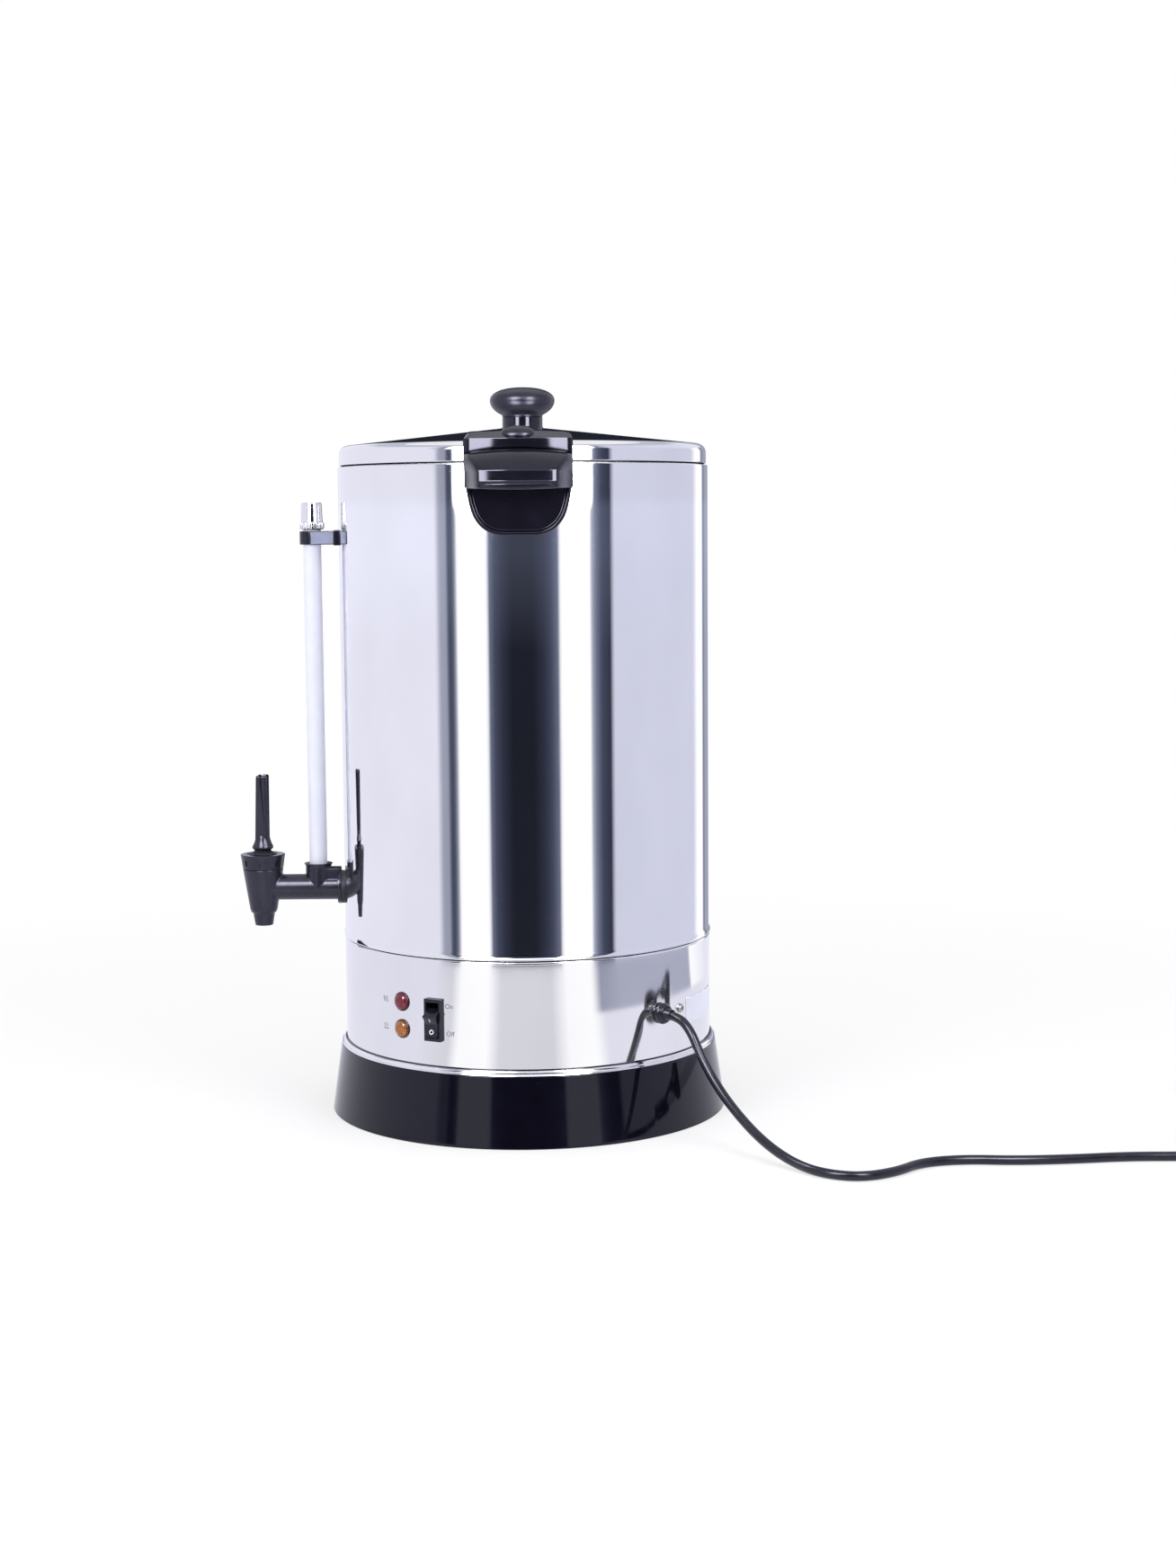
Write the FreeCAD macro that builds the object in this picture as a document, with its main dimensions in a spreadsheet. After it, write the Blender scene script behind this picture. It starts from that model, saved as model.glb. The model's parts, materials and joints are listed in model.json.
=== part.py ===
import FreeCAD, Part
import math
import os
import re

import Sketcher
from FreeCAD import Placement, Rotation, Vector

# Hot water urn: a double-walled steel tank on a black base, with a lever tap, a sight gauge,
# a lid, two side handles and a control band. +Z is up, the origin is on the urn's axis at the
# bottom of the base, the tap faces -Y and the side handles stand at +X and -X. Millimetres.

SIZES = (
    ("body_radius", 140.0, "outside radius of the upper shell"),
    ("shell_wall", 0.7, "sheet thickness of the upper shell"),
    ("shell_height", 355.4, "height of the upper shell over the lower band"),
    ("shell_flange", 7.0, "how far the shell's top flange turns in"),
    ("shoulder", 1.8, "rounding of the shell's top edge"),
    ("band_proud", 0.7, "how far the lower band stands outside the shell"),
    ("band_wall", 0.6, "sheet thickness of the lower band"),
    ("band_height", 83.6, "height of the lower band"),
    ("band_lap", 8.0, "how far the shell goes down inside the band"),
    ("base_height", 52.0, "height of the base skirt"),
    ("base_proud", 4.0, "how far the base's top stands outside the band"),
    ("base_flare", 7.6, "how much the base widens from its top to the floor"),
    ("base_wall", 3.0, "wall of the base skirt"),
    ("trim_height", 3.7, "height of the bright ring on the base"),
    ("trim_slope", 2.6, "how far the bright ring widens to its foot"),
    ("tank_gap", 9.0, "how far the inner tank stays inside the shell's outside"),
    ("tank_wall", 1.0, "sheet thickness of the inner tank"),
    ("tank_lift", 10.4, "height of the tank's underside over the band's top"),
    ("tank_rim_inset", 3.4, "how far the tank's rim flange stays inside the shell"),
    ("lid_inset", 2.0, "how far the lid's skirt stays inside the shell"),
    ("lid_wall", 0.8, "sheet thickness of the lid"),
    ("lid_gap", 0.2, "gap between the lid's skirt and the shell flange"),
    ("lid_skirt", 12.0, "height of the lid's upright skirt"),
    ("lid_round", 3.4, "rounding between skirt and cone of the lid"),
    ("lid_rise", 13.2, "rise of the lid's cone to its flat centre"),
    ("lid_flat_radius", 16.0, "radius of the lid's flat centre"),
    ("collar_radius", 15.2, "outside radius of the knob collar"),
    ("collar_height", 8.3, "height of the knob collar"),
    ("knob_radius", 24.5, "widest radius of the knob"),
    ("knob_height", 22.4, "height of the knob above its collar"),
    ("knob_screw_radius", 2.5, "shank radius of the knob screw"),
    ("knob_screw_reach", 12.0, "how far the knob screw goes into the knob"),
    ("screw_gap", 0.1, "radial clearance round a screw shank"),
    ("handle_half_width", 38.2, "half width of a side handle and a lid catch"),
    ("grip_reach", 42.0, "how far a handle stands out from the shell"),
    ("grip_rise", 7.0, "height of a handle's top over the shell"),
    ("grip_front_drop", 13.0, "fall of a handle's top to its upright front face"),
    ("grip_front_height", 8.0, "height of a handle's upright front face"),
    ("grip_lip_depth", 4.6, "depth of a handle's lip under its front face"),
    ("grip_wall", 3.4, "wall of a handle round its finger hollow"),
    ("grip_shoulder", 19.0, "depth of the sloping front of a handle"),
    ("grip_nose_half", 27.5, "half width of a handle's front face"),
    ("grip_arch", 2.5, "how much a handle's top falls from middle to side"),
    ("plate_height", 31.4, "height of a handle's back plate under its lip"),
    ("plate_face", 4.5, "face of the back plate, out from the shell"),
    ("plate_rim", 2.6, "width and height of the back plate's rim"),
    ("plate_waist_half", 32.3, "half width of the back plate above its corners"),
    ("plate_foot_half", 20.0, "half width of the back plate's lower edge"),
    ("plate_corner", 18.0, "radius of the back plate's lower corners"),
    ("plate_corner_height", 10.5, "height of the back plate's lower corners"),
    ("handle_seat", 0.1, "gap between a handle and the shell"),
    ("catch_gap", 3.0, "gap between a handle and the lid catch over it"),
    ("catch_height", 12.4, "height of a lid catch at its middle"),
    ("catch_reach", 24.5, "how far a catch's front stands out from the shell"),
    ("catch_depth", 38.0, "depth of a catch from front to back"),
    ("catch_slope_drop", 6.0, "fall of a catch's sloping top to its front edge"),
    ("catch_slope_depth", 12.0, "depth of a catch's sloping top"),
    ("catch_corner_width", 7.0, "width of a catch's rounded top corners"),
    ("catch_corner_drop", 6.0, "height of a catch's rounded top corners"),
    ("catch_corner_radius", 9.5, "radius of a catch's rounded top corners"),
    ("catch_screw_radius", 1.5, "shank radius of a catch screw"),
    ("catch_screw_spread", 24.0, "half distance of a catch's two screws"),
    ("catch_screw_inset", 11.0, "how far the catch screws stay inside the lid's edge"),
    ("catch_screw_head", 3.0, "head radius of a catch screw"),
    ("catch_button_radius", 11.5, "radius of the domed button on a catch"),
    ("catch_button_rise", 5.0, "half height of the whole button on a catch"),
    ("catch_button_proud", 1.5, "how far the button rises over a catch's top"),
    ("handle_screw_radius", 2.5, "shank radius of a handle screw"),
    ("handle_screw_head", 4.5, "head radius of a handle screw"),
    ("handle_screw_drop", 9.0, "how far the two upper handle screws lie under the shell's top"),
    ("handle_screw_rise", 13.0, "height of the lower handle screw over the plate's foot"),
    ("handle_screw_spread", 20.0, "half distance of the upper handle screws"),
    ("handle_screw_bite", 3.6, "how far a handle screw goes into the handle"),
    ("bracing_wall", 1.5, "thickness of the plate behind a handle"),
    ("tap_lift", 24.0, "height of the tap's arm over the tank's underside"),
    ("tap_reach", 64.0, "distance of the tap's upright axis from the shell"),
    ("arm_radius", 9.9, "outside radius of the tap's arm"),
    ("arm_bore", 6.0, "bore radius of the tap's arm"),
    ("tap_drop", 19.4, "how far the tap's cone goes down from the arm's axis"),
    ("tap_rise", 14.6, "how far the tap's cone goes up from the arm's axis"),
    ("tap_foot_radius", 10.6, "radius of the tap's cone at its lower end"),
    ("tap_head_radius", 15.5, "radius of the tap's cone at its upper end"),
    ("spout_length", 10.0, "length of the spout tip"),
    ("spout_radius", 8.5, "radius of the spout tip where it leaves the cone"),
    ("spout_end_radius", 6.9, "radius of the spout tip at its end"),
    ("spout_bore", 4.6, "bore radius of the spout"),
    ("seat_rise", 9.4, "height of the valve seat over the cone's lower end"),
    ("chamber_radius", 9.2, "bore radius of the valve chamber"),
    ("tap_neck_radius", 12.2, "radius of the threaded neck in the bonnet"),
    ("tap_neck_height", 7.0, "height of the threaded neck"),
    ("bonnet_height", 11.4, "height of the bonnet"),
    ("bonnet_flare", 1.6, "how much the bonnet widens upwards"),
    ("bonnet_slots", 8, "slots round the bonnet"),
    ("boot_radius", 7.2, "radius of the rubber ring round the stem"),
    ("boot_height", 2.8, "height of the rubber ring round the stem"),
    ("stem_radius", 2.5, "radius of the tap's stem"),
    ("stem_play", 0.3, "radial play round the stem"),
    ("stem_tip", 2.6, "how far the stem goes past the lever's pin"),
    ("cup_radius", 8.4, "radius of the valve seat cup"),
    ("cup_height", 8.0, "height of the valve seat cup"),
    ("spring_radius", 5.0, "middle radius of the tap's spring"),
    ("spring_wire", 0.5, "wire radius of the tap's spring"),
    ("spring_turns", 6.0, "turns of the tap's spring"),
    ("lever_foot_radius", 8.3, "radius of the lever's foot"),
    ("lever_foot_height", 9.5, "height of the lever's foot"),
    ("lever_height", 57.9, "height of the lever"),
    ("lever_low_depth", 10.4, "front to back depth of the lever above its foot"),
    ("lever_high_depth", 8.6, "front to back depth of the lever at its top"),
    ("lever_low_width", 10.0, "width of the lever above its foot"),
    ("lever_high_width", 15.0, "width of the lever at its top"),
    ("lever_lift", 0.4, "gap between the lever's foot and the ring below it"),
    ("lever_pin_radius", 1.25, "radius of the lever's pin"),
    ("lever_pin_rise", 5.5, "height of the lever's pin over the lever's foot"),
    ("pin_play", 0.06, "radial play of a pin in its bore"),
    ("socket_radius", 9.8, "outside radius of the gauge socket on the arm"),
    ("socket_rise", 18.6, "height of the gauge socket over the arm's axis"),
    ("socket_lip", 1.3, "how much the socket widens at its top"),
    ("socket_depth", 7.6, "depth of the gauge socket"),
    ("flange_radius", 12.9, "radius of the tap's flange and its gaskets"),
    ("flange_width", 3.0, "thickness of the tap's flange"),
    ("gasket_width", 3.0, "thickness of the outer tap gasket"),
    ("shank_radius", 8.5, "radius of the tap's threaded shank"),
    ("shank_reach", 13.0, "how far the shank goes into the tank"),
    ("shank_gap", 0.2, "radial clearance round the shank"),
    ("tap_nut_radius", 14.0, "corner radius of the tap's nut"),
    ("tap_nut_width", 6.0, "thickness of the tap's nut"),
    ("gauge_reach", 21.2, "distance of the gauge tube's axis from the shell"),
    ("gauge_radius", 6.75, "outside radius of the gauge tube"),
    ("gauge_bore", 5.0, "bore radius of the gauge tube"),
    ("gauge_drop", 31.0, "how far the gauge tube ends under the shell's top"),
    ("gauge_play", 0.15, "radial clearance round the gauge tube"),
    ("cap_ring_drop", 15.2, "how far the knurled ring goes down from the tube's end"),
    ("cap_ring_radius", 9.4, "outside radius of the knurled cap ring"),
    ("cap_ring_height", 5.7, "height of the knurled cap ring"),
    ("cap_ribs", 18, "ribs round the knurled cap ring"),
    ("cap_rise", 5.0, "height of the gauge cap over the tube's end"),
    ("cap_foot_radius", 8.3, "radius of the gauge cap at its foot"),
    ("cap_top_radius", 7.6, "radius of the gauge cap at its top"),
    ("bracket_drop", 21.6, "how far the gauge bracket lies under the tube's end"),
    ("bracket_depth", 10.2, "height of the gauge bracket's sides"),
    ("bracket_half_width", 9.4, "half width of the gauge bracket"),
    ("bracket_screw_radius", 1.9, "shank radius of the bracket screw"),
    ("panel_rise", 38.2, "middle height of the switch over the base"),
    ("switch_angle", 332.0, "direction of the switch from +X"),
    ("switch_half_width", 7.25, "half width of the switch's frame"),
    ("switch_half_height", 15.6, "half height of the switch's frame"),
    ("switch_frame", 2.0, "thickness of the switch's frame"),
    ("switch_depth", 20.0, "depth of the switch behind the band"),
    ("switch_wall", 1.1, "side wall of the switch's body"),
    ("rocker_half_width", 5.1, "half width of the rocker"),
    ("rocker_tilt", 15.5, "tilt of the rocker from its middle to either end"),
    ("rocker_dish", 19.0, "slope of each face of the rocker to its crease"),
    ("rocker_face", 8.8, "length of each face of the rocker"),
    ("rocker_pivot", 9.0, "depth of the rocker's pivot behind the band"),
    ("rocker_crease", 2.2, "height of the rocker's crease over the band"),
    ("rocker_pin_radius", 1.2, "radius of the rocker's pin"),
    ("lamp_angle", 320.0, "direction of the two lamps from +X"),
    ("lamp_up", 10.5, "how far the heating lamp lies over the switch's middle"),
    ("lamp_down", 9.7, "how far the keep-warm lamp lies under the switch's middle"),
    ("lens_radius", 7.3, "radius of a lamp lens"),
    ("lens_rim", 1.4, "thickness of a lamp lens's rim"),
    ("lens_dome", 3.2, "rise of a lamp lens's dome over its rim"),
    ("lamp_body_radius", 5.0, "radius of a lamp's body behind the band"),
    ("lamp_body_length", 22.0, "length of a lamp's body behind the band"),
    ("gland_angle", 45.2, "direction of the cord gland from +X"),
    ("gland_rise", 36.5, "height of the cord gland over the base"),
    ("gland_radius", 9.3, "radius of the cord gland's collar"),
    ("gland_collar", 6.0, "thickness of the cord gland's collar"),
    ("gland_nose_radius", 6.2, "radius of the cord gland's nose at its foot"),
    ("gland_nose", 5.0, "length of the cord gland's nose"),
    ("gland_neck_radius", 7.6, "radius of the cord gland in the band's hole"),
    ("gland_inner", 9.0, "length of the cord gland behind the band"),
    ("cord_radius", 3.4, "radius of the power cord"),
    ("earth_angle", 54.2, "direction of the earth screw from +X"),
    ("earth_rise", 36.9, "height of the earth screw over the base"),
    ("earth_screw_radius", 2.0, "shank radius of the earth screw"),
    ("earth_head_radius", 3.9, "head radius of the earth screw"),
    ("label_angle", 69.3, "direction of the rating plate's middle from +X"),
    ("label_span", 22.8, "arc of the rating plate in degrees"),
    ("label_rise", 23.0, "height of the rating plate's lower edge over the base"),
    ("label_height", 20.0, "height of the rating plate"),
    ("label_wall", 0.4, "thickness of the rating plate"),
    ("heater_radius", 70.0, "radius of the heater plate"),
    ("heater_plate", 4.0, "thickness of the heater plate"),
    ("heater_gap", 0.1, "gap between tank and heater plate"),
    ("element_ring", 50.0, "middle radius of the heating element"),
    ("element_radius", 4.0, "radius of the heating element's tube"),
    ("element_drop", 26.0, "length of the heating element's cold ends"),
    ("thermostat_radius", 8.0, "radius of a thermostat"),
    ("thermostat_height", 9.0, "height of a thermostat"),
    ("thermostat_place", 26.0, "distance of the thermostats from the axis"),
    ("clamp_width", 14.0, "width of the heater's clamp bar"),
    ("clamp_wall", 2.0, "thickness of the heater's clamp bar"),
    ("stud_radius", 3.0, "radius of the stud under the tank"),
    ("cover_height", 9.5, "height of the bottom cover's underside"),
    ("cover_wall", 1.0, "thickness of the bottom cover"),
    ("cover_margin", 1.0, "gap between bottom cover and base wall"),
    ("cover_vents", 12, "vent slots in the bottom cover"),
    ("foot_radius", 11.0, "radius of a rubber foot"),
    ("foot_inset", 40.3, "how far the rubber feet stand in from the base's foot"),
    ("boss_radius", 4.5, "radius of a boss for a cover screw"),
    ("boss_inset", 10.7, "how far the bosses stand in from the base's top edge"),
    ("cover_screw_radius", 1.8, "shank radius of a cover screw"),
    ("tab_width", 18.0, "width of a tab that joins band and base"),
    ("tab_leg", 12.0, "leg length of a tab that joins band and base"),
    ("tab_wall", 1.5, "thickness of a tab that joins band and base"),
    ("tab_screw_radius", 1.9, "shank radius of a tab screw"),
    ("block_length", 36.0, "length of the terminal block"),
    ("block_width", 22.0, "width of the terminal block"),
    ("block_height", 16.0, "height of the terminal block"),
    ("wire_radius", 1.3, "radius of an inner wire"),
    ("coil_radius", 40.0, "middle radius of the coil of put-away cord"),
    ("coil_x", 155.5, "place of the coil's middle along X"),
    ("coil_y", 520.0, "place of the coil's middle along Y"),
    ("tie_wall", 0.9, "thickness of the tie round the coil"),
    ("tie_width", 6.0, "width of the tie round the coil"),
    ("tie_room", 0.6, "room across the coil inside its tie"),
    ("plug_radius", 18.5, "radius of the plug"),
    ("plug_length", 28.0, "length of the plug's round front"),
    ("plug_taper", 20.0, "length of the plug's grip behind its front"),
    ("plug_relief", 24.0, "length of the plug's strain relief"),
    ("plug_back", 86.0, "place of the strain relief's end along X"),
    ("plug_y", 539.0, "place of the plug's axis along Y"),
    ("pin_radius", 2.4, "radius of a plug pin"),
    ("pin_length", 19.0, "length of a plug pin"),
    ("pin_spacing", 19.0, "distance between the plug pins"),
)

# What follows from the sizes above. A row may use the rows before it.
DERIVED = (
    ("band_out", "body_radius + band_proud", "outside radius of the lower band"),
    ("band_in", "band_out - band_wall", "inside radius of the lower band"),
    ("band_top", "base_height + band_height", "height of the lower band's top edge"),
    ("shell_top", "band_top + shell_height", "height of the upper shell's top flange"),
    ("base_neck_radius", "band_out + base_proud", "outside radius of the base at its top"),
    ("base_foot_radius", "base_neck_radius + base_flare", "outside radius of the base's foot"),
    ("ledge_inner", "band_in - 0.1 - tab_leg", "inside radius of the base's top ledge"),
    ("boss_place", "base_neck_radius - boss_inset", "distance of the bosses from the axis"),
    ("foot_place", "base_foot_radius - foot_inset", "distance of the rubber feet from the axis"),
    ("tank_radius", "body_radius - tank_gap", "outside radius of the inner tank"),
    ("tank_floor", "band_top + tank_lift", "height of the tank's underside"),
    ("tank_flange_radius", "body_radius - tank_rim_inset", "outside radius of the tank's rim"),
    ("lid_radius", "body_radius - lid_inset", "outside radius of the lid's skirt"),
    ("grip_top", "shell_top + grip_rise", "top of a handle at its middle"),
    ("grip_front_top", "grip_top - grip_front_drop", "top of a handle's front face"),
    ("grip_front_foot", "grip_front_top - grip_front_height", "foot of a handle's front face"),
    ("grip_lip", "grip_front_foot - grip_lip_depth", "lower edge of a handle's lip"),
    ("plate_foot", "grip_lip - plate_height", "lower edge of a handle's back plate"),
    ("catch_foot", "grip_top + catch_gap", "foot of a lid catch at its middle"),
    ("catch_top", "catch_foot + catch_height", "top of a lid catch"),
    ("handle_screw_high", "shell_top - handle_screw_drop", "height of the upper handle screws"),
    ("handle_screw_low", "plate_foot + handle_screw_rise", "height of the lower handle screw"),
    ("tap_height", "tank_floor + tap_lift", "height of the tap's arm"),
    ("tap_bottom", "tap_height - tap_drop", "lower end of the tap's cone"),
    ("tap_cone_top", "tap_height + tap_rise", "upper end of the tap's cone"),
    ("seat_height", "tap_bottom + seat_rise", "height of the valve seat"),
    ("boot_foot", "tap_cone_top + bonnet_height", "foot of the rubber ring round the stem"),
    ("lever_foot", "boot_foot + 0.1 + boot_height + lever_lift", "foot of the lever"),
    ("lever_top", "lever_foot + lever_height", "top of the lever"),
    ("lever_pin_height", "lever_foot + lever_pin_rise", "height of the lever's pin"),
    ("socket_top", "tap_height + socket_rise", "top of the gauge socket"),
    ("socket_floor", "socket_top - socket_depth", "height at which the gauge tube stands"),
    ("gauge_top", "shell_top - gauge_drop", "upper end of the gauge tube"),
    ("cap_ring_foot", "gauge_top - cap_ring_drop", "lower edge of the knurled cap ring"),
    ("cap_top", "gauge_top + cap_rise", "top of the gauge cap"),
    ("bracket_height", "gauge_top - bracket_drop", "middle height of the gauge bracket"),
    ("panel_height", "base_height + panel_rise", "middle height of the switch"),
    ("lamp_high", "panel_height + lamp_up", "height of the heating lamp"),
    ("lamp_low", "panel_height - lamp_down", "height of the keep-warm lamp"),
    ("gland_height", "base_height + gland_rise", "height of the cord gland"),
    ("earth_height", "base_height + earth_rise", "height of the earth screw"),
    ("label_foot", "base_height + label_rise", "lower edge of the rating plate"),
)

# The power cord's route out of the gland, down past the base and over the floor to the coil.
CORD_ROUTE = (
    (100.8, 101.5, 88.5),
    (111.0, 111.7, 88.4),
    (121.4, 120.2, 80.4),
    (130.0, 126.8, 64.0),
    (144.6, 138.0, 44.0),
    (164.0, 152.6, 26.6),
    (187.0, 169.6, 12.4),
    (211.0, 187.6, 4.6),
    (234.0, 204.6, 3.5),
    (245.0, 230.0, 3.5),
    (232.0, 256.4, 3.5),
    (208.4, 276.6, 3.5),
    (200.6, 307.4, 3.5),
    (205.0, 343.0, 3.5),
    (202.6, 383.0, 3.5),
    (196.6, 424.0, 3.5),
    (198.4, 466.0, 3.6),
    (199.0, 500.0, 4.4),
)

# The cord's last stretch, from the coil's upper turns to the plug.
TAIL_ROUTE = (
    (139.0, 561.0, 11.4),
    (125.4, 552.8, 12.0),
    (112.0, 544.4, 14.6),
    (99.4, 539.8, 17.6),
    (86.0, 539.0, 18.5),
)

# The lead inside the base, from the gland to the terminal block.
INNER_ROUTE = (
    (92.2, 92.9, 88.5),
    (80.0, 80.6, 88.5),
    (68.5, 69.0, 80.0),
    (62.0, 62.6, 62.0),
    (60.0, 60.6, 45.0),
    (60.0, 60.6, 27.2),
)

# Wires from the terminal block to the switch, the lamps, the element and the thermostats.
WIRE_ROUTES = (
    ((74.0, 49.2, 20.0), (76.0, 36.0, 22.0), (84.0, 14.0, 42.0), (90.0, -8.0, 62.0),
     (92.0, -28.0, 78.0), (92.4, -42.0, 83.2), (98.9, -52.6, 84.2)),
    ((66.0, 49.2, 20.0), (66.6, 34.0, 22.0), (76.0, 12.0, 42.0), (83.0, -12.0, 66.0),
     (87.0, -31.0, 87.0), (91.0, -42.6, 95.0), (98.9, -52.6, 96.2)),
    ((54.0, 49.2, 20.0), (54.0, 34.0, 25.0), (53.0, 14.0, 48.0), (51.0, -4.0, 76.0),
     (50.4, -11.0, 95.0), (50.0, -12.0, 111.4)),
)

HANDLE_SIDES = (("right_handle", 0.0), ("left_handle", 180.0))
BOSS_ANGLES = (0.0, 90.0, 180.0, 270.0)
FOOT_ANGLES = (45.0, 135.0, 225.0, 315.0)
TAB_ANGLES = (15.0, 105.0, 195.0, 285.0)

NAMES = {name for name, amount, meaning in SIZES + DERIVED}

document = FreeCAD.newDocument("hot_water_urn")
sheet = document.addObject("Spreadsheet::Sheet", "Sizes")
for row, (name, amount, meaning) in enumerate(SIZES + DERIVED, start=1):
    sheet.set("A%d" % row, meaning)
    sheet.set("B%d" % row, "=%s" % amount)
    sheet.setAlias("B%d" % row, name)
document.recompute()

pieces = []
base_screws = []


def linked(text):
    """The text with each size's name turned into a reference to its cell."""
    return re.sub(
        r"[a-z_]+", lambda m: "Sizes." + m.group() if m.group() in NAMES else m.group(), text
    )


def number(text):
    """What a text with size names comes to, in millimetres or degrees."""
    return float(sheet.evalExpression(linked(text)))


def bind(item, **settings):
    """Tie properties of an object to the sheet: bind(box, Length="body_radius * 2")."""
    for name, text in settings.items():
        item.setExpression(name, linked(text))
    return item


def place(item, x="0", y="0", z="0", axis=Vector(0, 0, 1), turn="0"):
    """Stand an object at a place tied to the sheet, turned about an axis by degrees."""
    item.Placement = Placement(Vector(0, 0, 0), Rotation(axis, 1.0))
    for name, text in (("x", x), ("y", y), ("z", z)):
        item.setExpression("Placement.Base." + name, linked(text))
    item.setExpression("Placement.Rotation.Angle", linked("(%s) * 1deg" % turn))
    return item


ALONG = {"X": (Vector(0, 1, 0), "90"), "Y": (Vector(1, 0, 0), "270"), "Z": (Vector(0, 0, 1), "0")}


def cylinder(name, radius, height, x="0", y="0", z="0", along="Z"):
    """A cylinder whose foot stands at a place and which runs along an axis."""
    item = document.addObject("Part::Cylinder", name)
    bind(item, Radius=radius, Height=height)
    return place(item, x, y, z, *ALONG[along])


def cone(name, foot, top, height, x="0", y="0", z="0", along="Z"):
    """A cone whose foot stands at a place and which runs along an axis."""
    item = document.addObject("Part::Cone", name)
    bind(item, Radius1=foot, Radius2=top, Height=height)
    return place(item, x, y, z, *ALONG[along])


def block(name, length, width, height, x="0", y="0", z="0"):
    """A box with its lowest corner at a place."""
    item = document.addObject("Part::Box", name)
    bind(item, Length=length, Width=width, Height=height)
    return place(item, x, y, z)


def union(name, items):
    """Several solids grown into one."""
    joined = document.addObject("Part::MultiFuse", name)
    joined.Shapes = items
    joined.Refine = True
    return joined


def group(name, items):
    """Several solids kept apart in one piece."""
    together = document.addObject("Part::Compound", name)
    together.Links = items
    return together


def carve(name, base, tools):
    """A solid with other solids cut out of it."""
    cut = document.addObject("Part::Cut", name)
    cut.Base = base
    cut.Tool = tools[0] if len(tools) == 1 else group(name + "_tools", tools)
    cut.Refine = True
    return cut


def overlap(name, first, second):
    """What two solids share."""
    common = document.addObject("Part::Common", name)
    common.Base = first
    common.Tool = second
    common.Refine = True
    return common


def finished(item, label):
    """Count an object as a sub-part of the urn, under its own label."""
    item.Label = label
    pieces.append(item)
    return item


def draw(sketch, outline):
    """Draw a closed outline of (x, y) or (x, y, radius, side) corners, tied to the sheet.

    An edge with a radius is an arc, and its centre lies on the given side of the way ahead.
    """
    spots = [(number(corner[0]), number(corner[1])) for corner in outline]
    ends = []
    for index, corner in enumerate(outline):
        here = Vector(*spots[index], 0)
        ahead = Vector(*spots[(index + 1) % len(spots)], 0)
        if len(corner) == 2:
            edge = sketch.addGeometry(Part.LineSegment(here, ahead), False)
            ends.append((edge, 1, 2))
            continue
        radius = number(corner[2])
        middle = (here + ahead) * 0.5
        run = ahead - here
        left = Vector(-run.y, run.x, 0).normalize()
        centre_side = left if corner[3] == "left" else -left
        depth = math.sqrt(max(radius * radius - run.Length * run.Length / 4, 0.0))
        crown = middle + centre_side * (depth - radius)
        edge = sketch.addGeometry(Part.Arc(here, crown, ahead), False)
        forward = (sketch.Geometry[edge].StartPoint - here).Length < run.Length / 2
        ends.append((edge, 1, 2) if forward else (edge, 2, 1))
    for index in range(len(outline)):
        edge, start, finish = ends[index]
        following, following_start, following_finish = ends[(index + 1) % len(ends)]
        sketch.addConstraint(
            Sketcher.Constraint("Coincident", edge, finish, following, following_start)
        )
    for index, corner in enumerate(outline):
        edge, start, finish = ends[index]
        for kind, amount, text in (
            ("DistanceX", spots[index][0], corner[0]),
            ("DistanceY", spots[index][1], corner[1]),
        ):
            rule = sketch.addConstraint(Sketcher.Constraint(kind, -1, 1, edge, start, amount))
            sketch.setExpression("Constraints[%d]" % rule, linked(text))
        if len(corner) > 2:
            rule = sketch.addConstraint(Sketcher.Constraint("Radius", edge, number(corner[2])))
            sketch.setExpression("Constraints[%d]" % rule, linked(corner[2]))


def sketched(name, plane, outline):
    """A body with one closed outline on one of its own planes."""
    body = document.addObject("PartDesign::Body", name)
    sketch = body.newObject("Sketcher::SketchObject", name + "_outline")
    support = [item for item in body.Origin.OriginFeatures if item.Role == plane + "_Plane"][0]
    sketch.AttachmentSupport = [(support, "")]
    sketch.MapMode = "FlatFace"
    draw(sketch, outline)
    document.recompute()
    return body, sketch


def turned(name, outline, x="0", y="0", z="0"):
    """A turned body: its half outline of (radius, height) corners spun about its upright axis."""
    body, sketch = sketched(name, "XZ", outline)
    spin = body.newObject("PartDesign::Revolution", name + "_spin")
    spin.Profile = sketch
    spin.ReferenceAxis = (sketch, ["V_Axis"])
    spin.Angle = 360
    body.Tip = spin
    return place(body, x, y, z)


def extruded(name, plane, outline, length, middle=True):
    """A body padded from an outline on a plane, to both sides of it or ahead of it."""
    body, sketch = sketched(name, plane, outline)
    pad = body.newObject("PartDesign::Pad", name + "_pad")
    pad.Profile = sketch
    pad.Midplane = middle
    bind(pad, Length=length)
    body.Tip = pad
    return body


def rounded(body, radius, chosen):
    """Round the edges of a body's tip that chosen(edge) picks."""
    document.recompute()
    tip = body.Tip
    names = ["Edge%d" % n for n, edge in enumerate(tip.Shape.Edges, start=1) if chosen(edge)]
    fillet = body.newObject("PartDesign::Fillet", body.Name + "_round")
    fillet.Base = (tip, names)
    bind(fillet, Radius=radius)
    body.Tip = fillet
    return body


def on_band(item, angle, height):
    """Stand a piece on the band's outside: its own +X points out of the urn there."""
    return place(
        item,
        "band_out * cos(%s * 1deg)" % angle,
        "band_out * sin(%s * 1deg)" % angle,
        height,
        turn=angle,
    )


def round_about(item, angle):
    """Turn a piece about the urn's axis by degrees."""
    return place(item, turn=str(angle))


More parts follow.
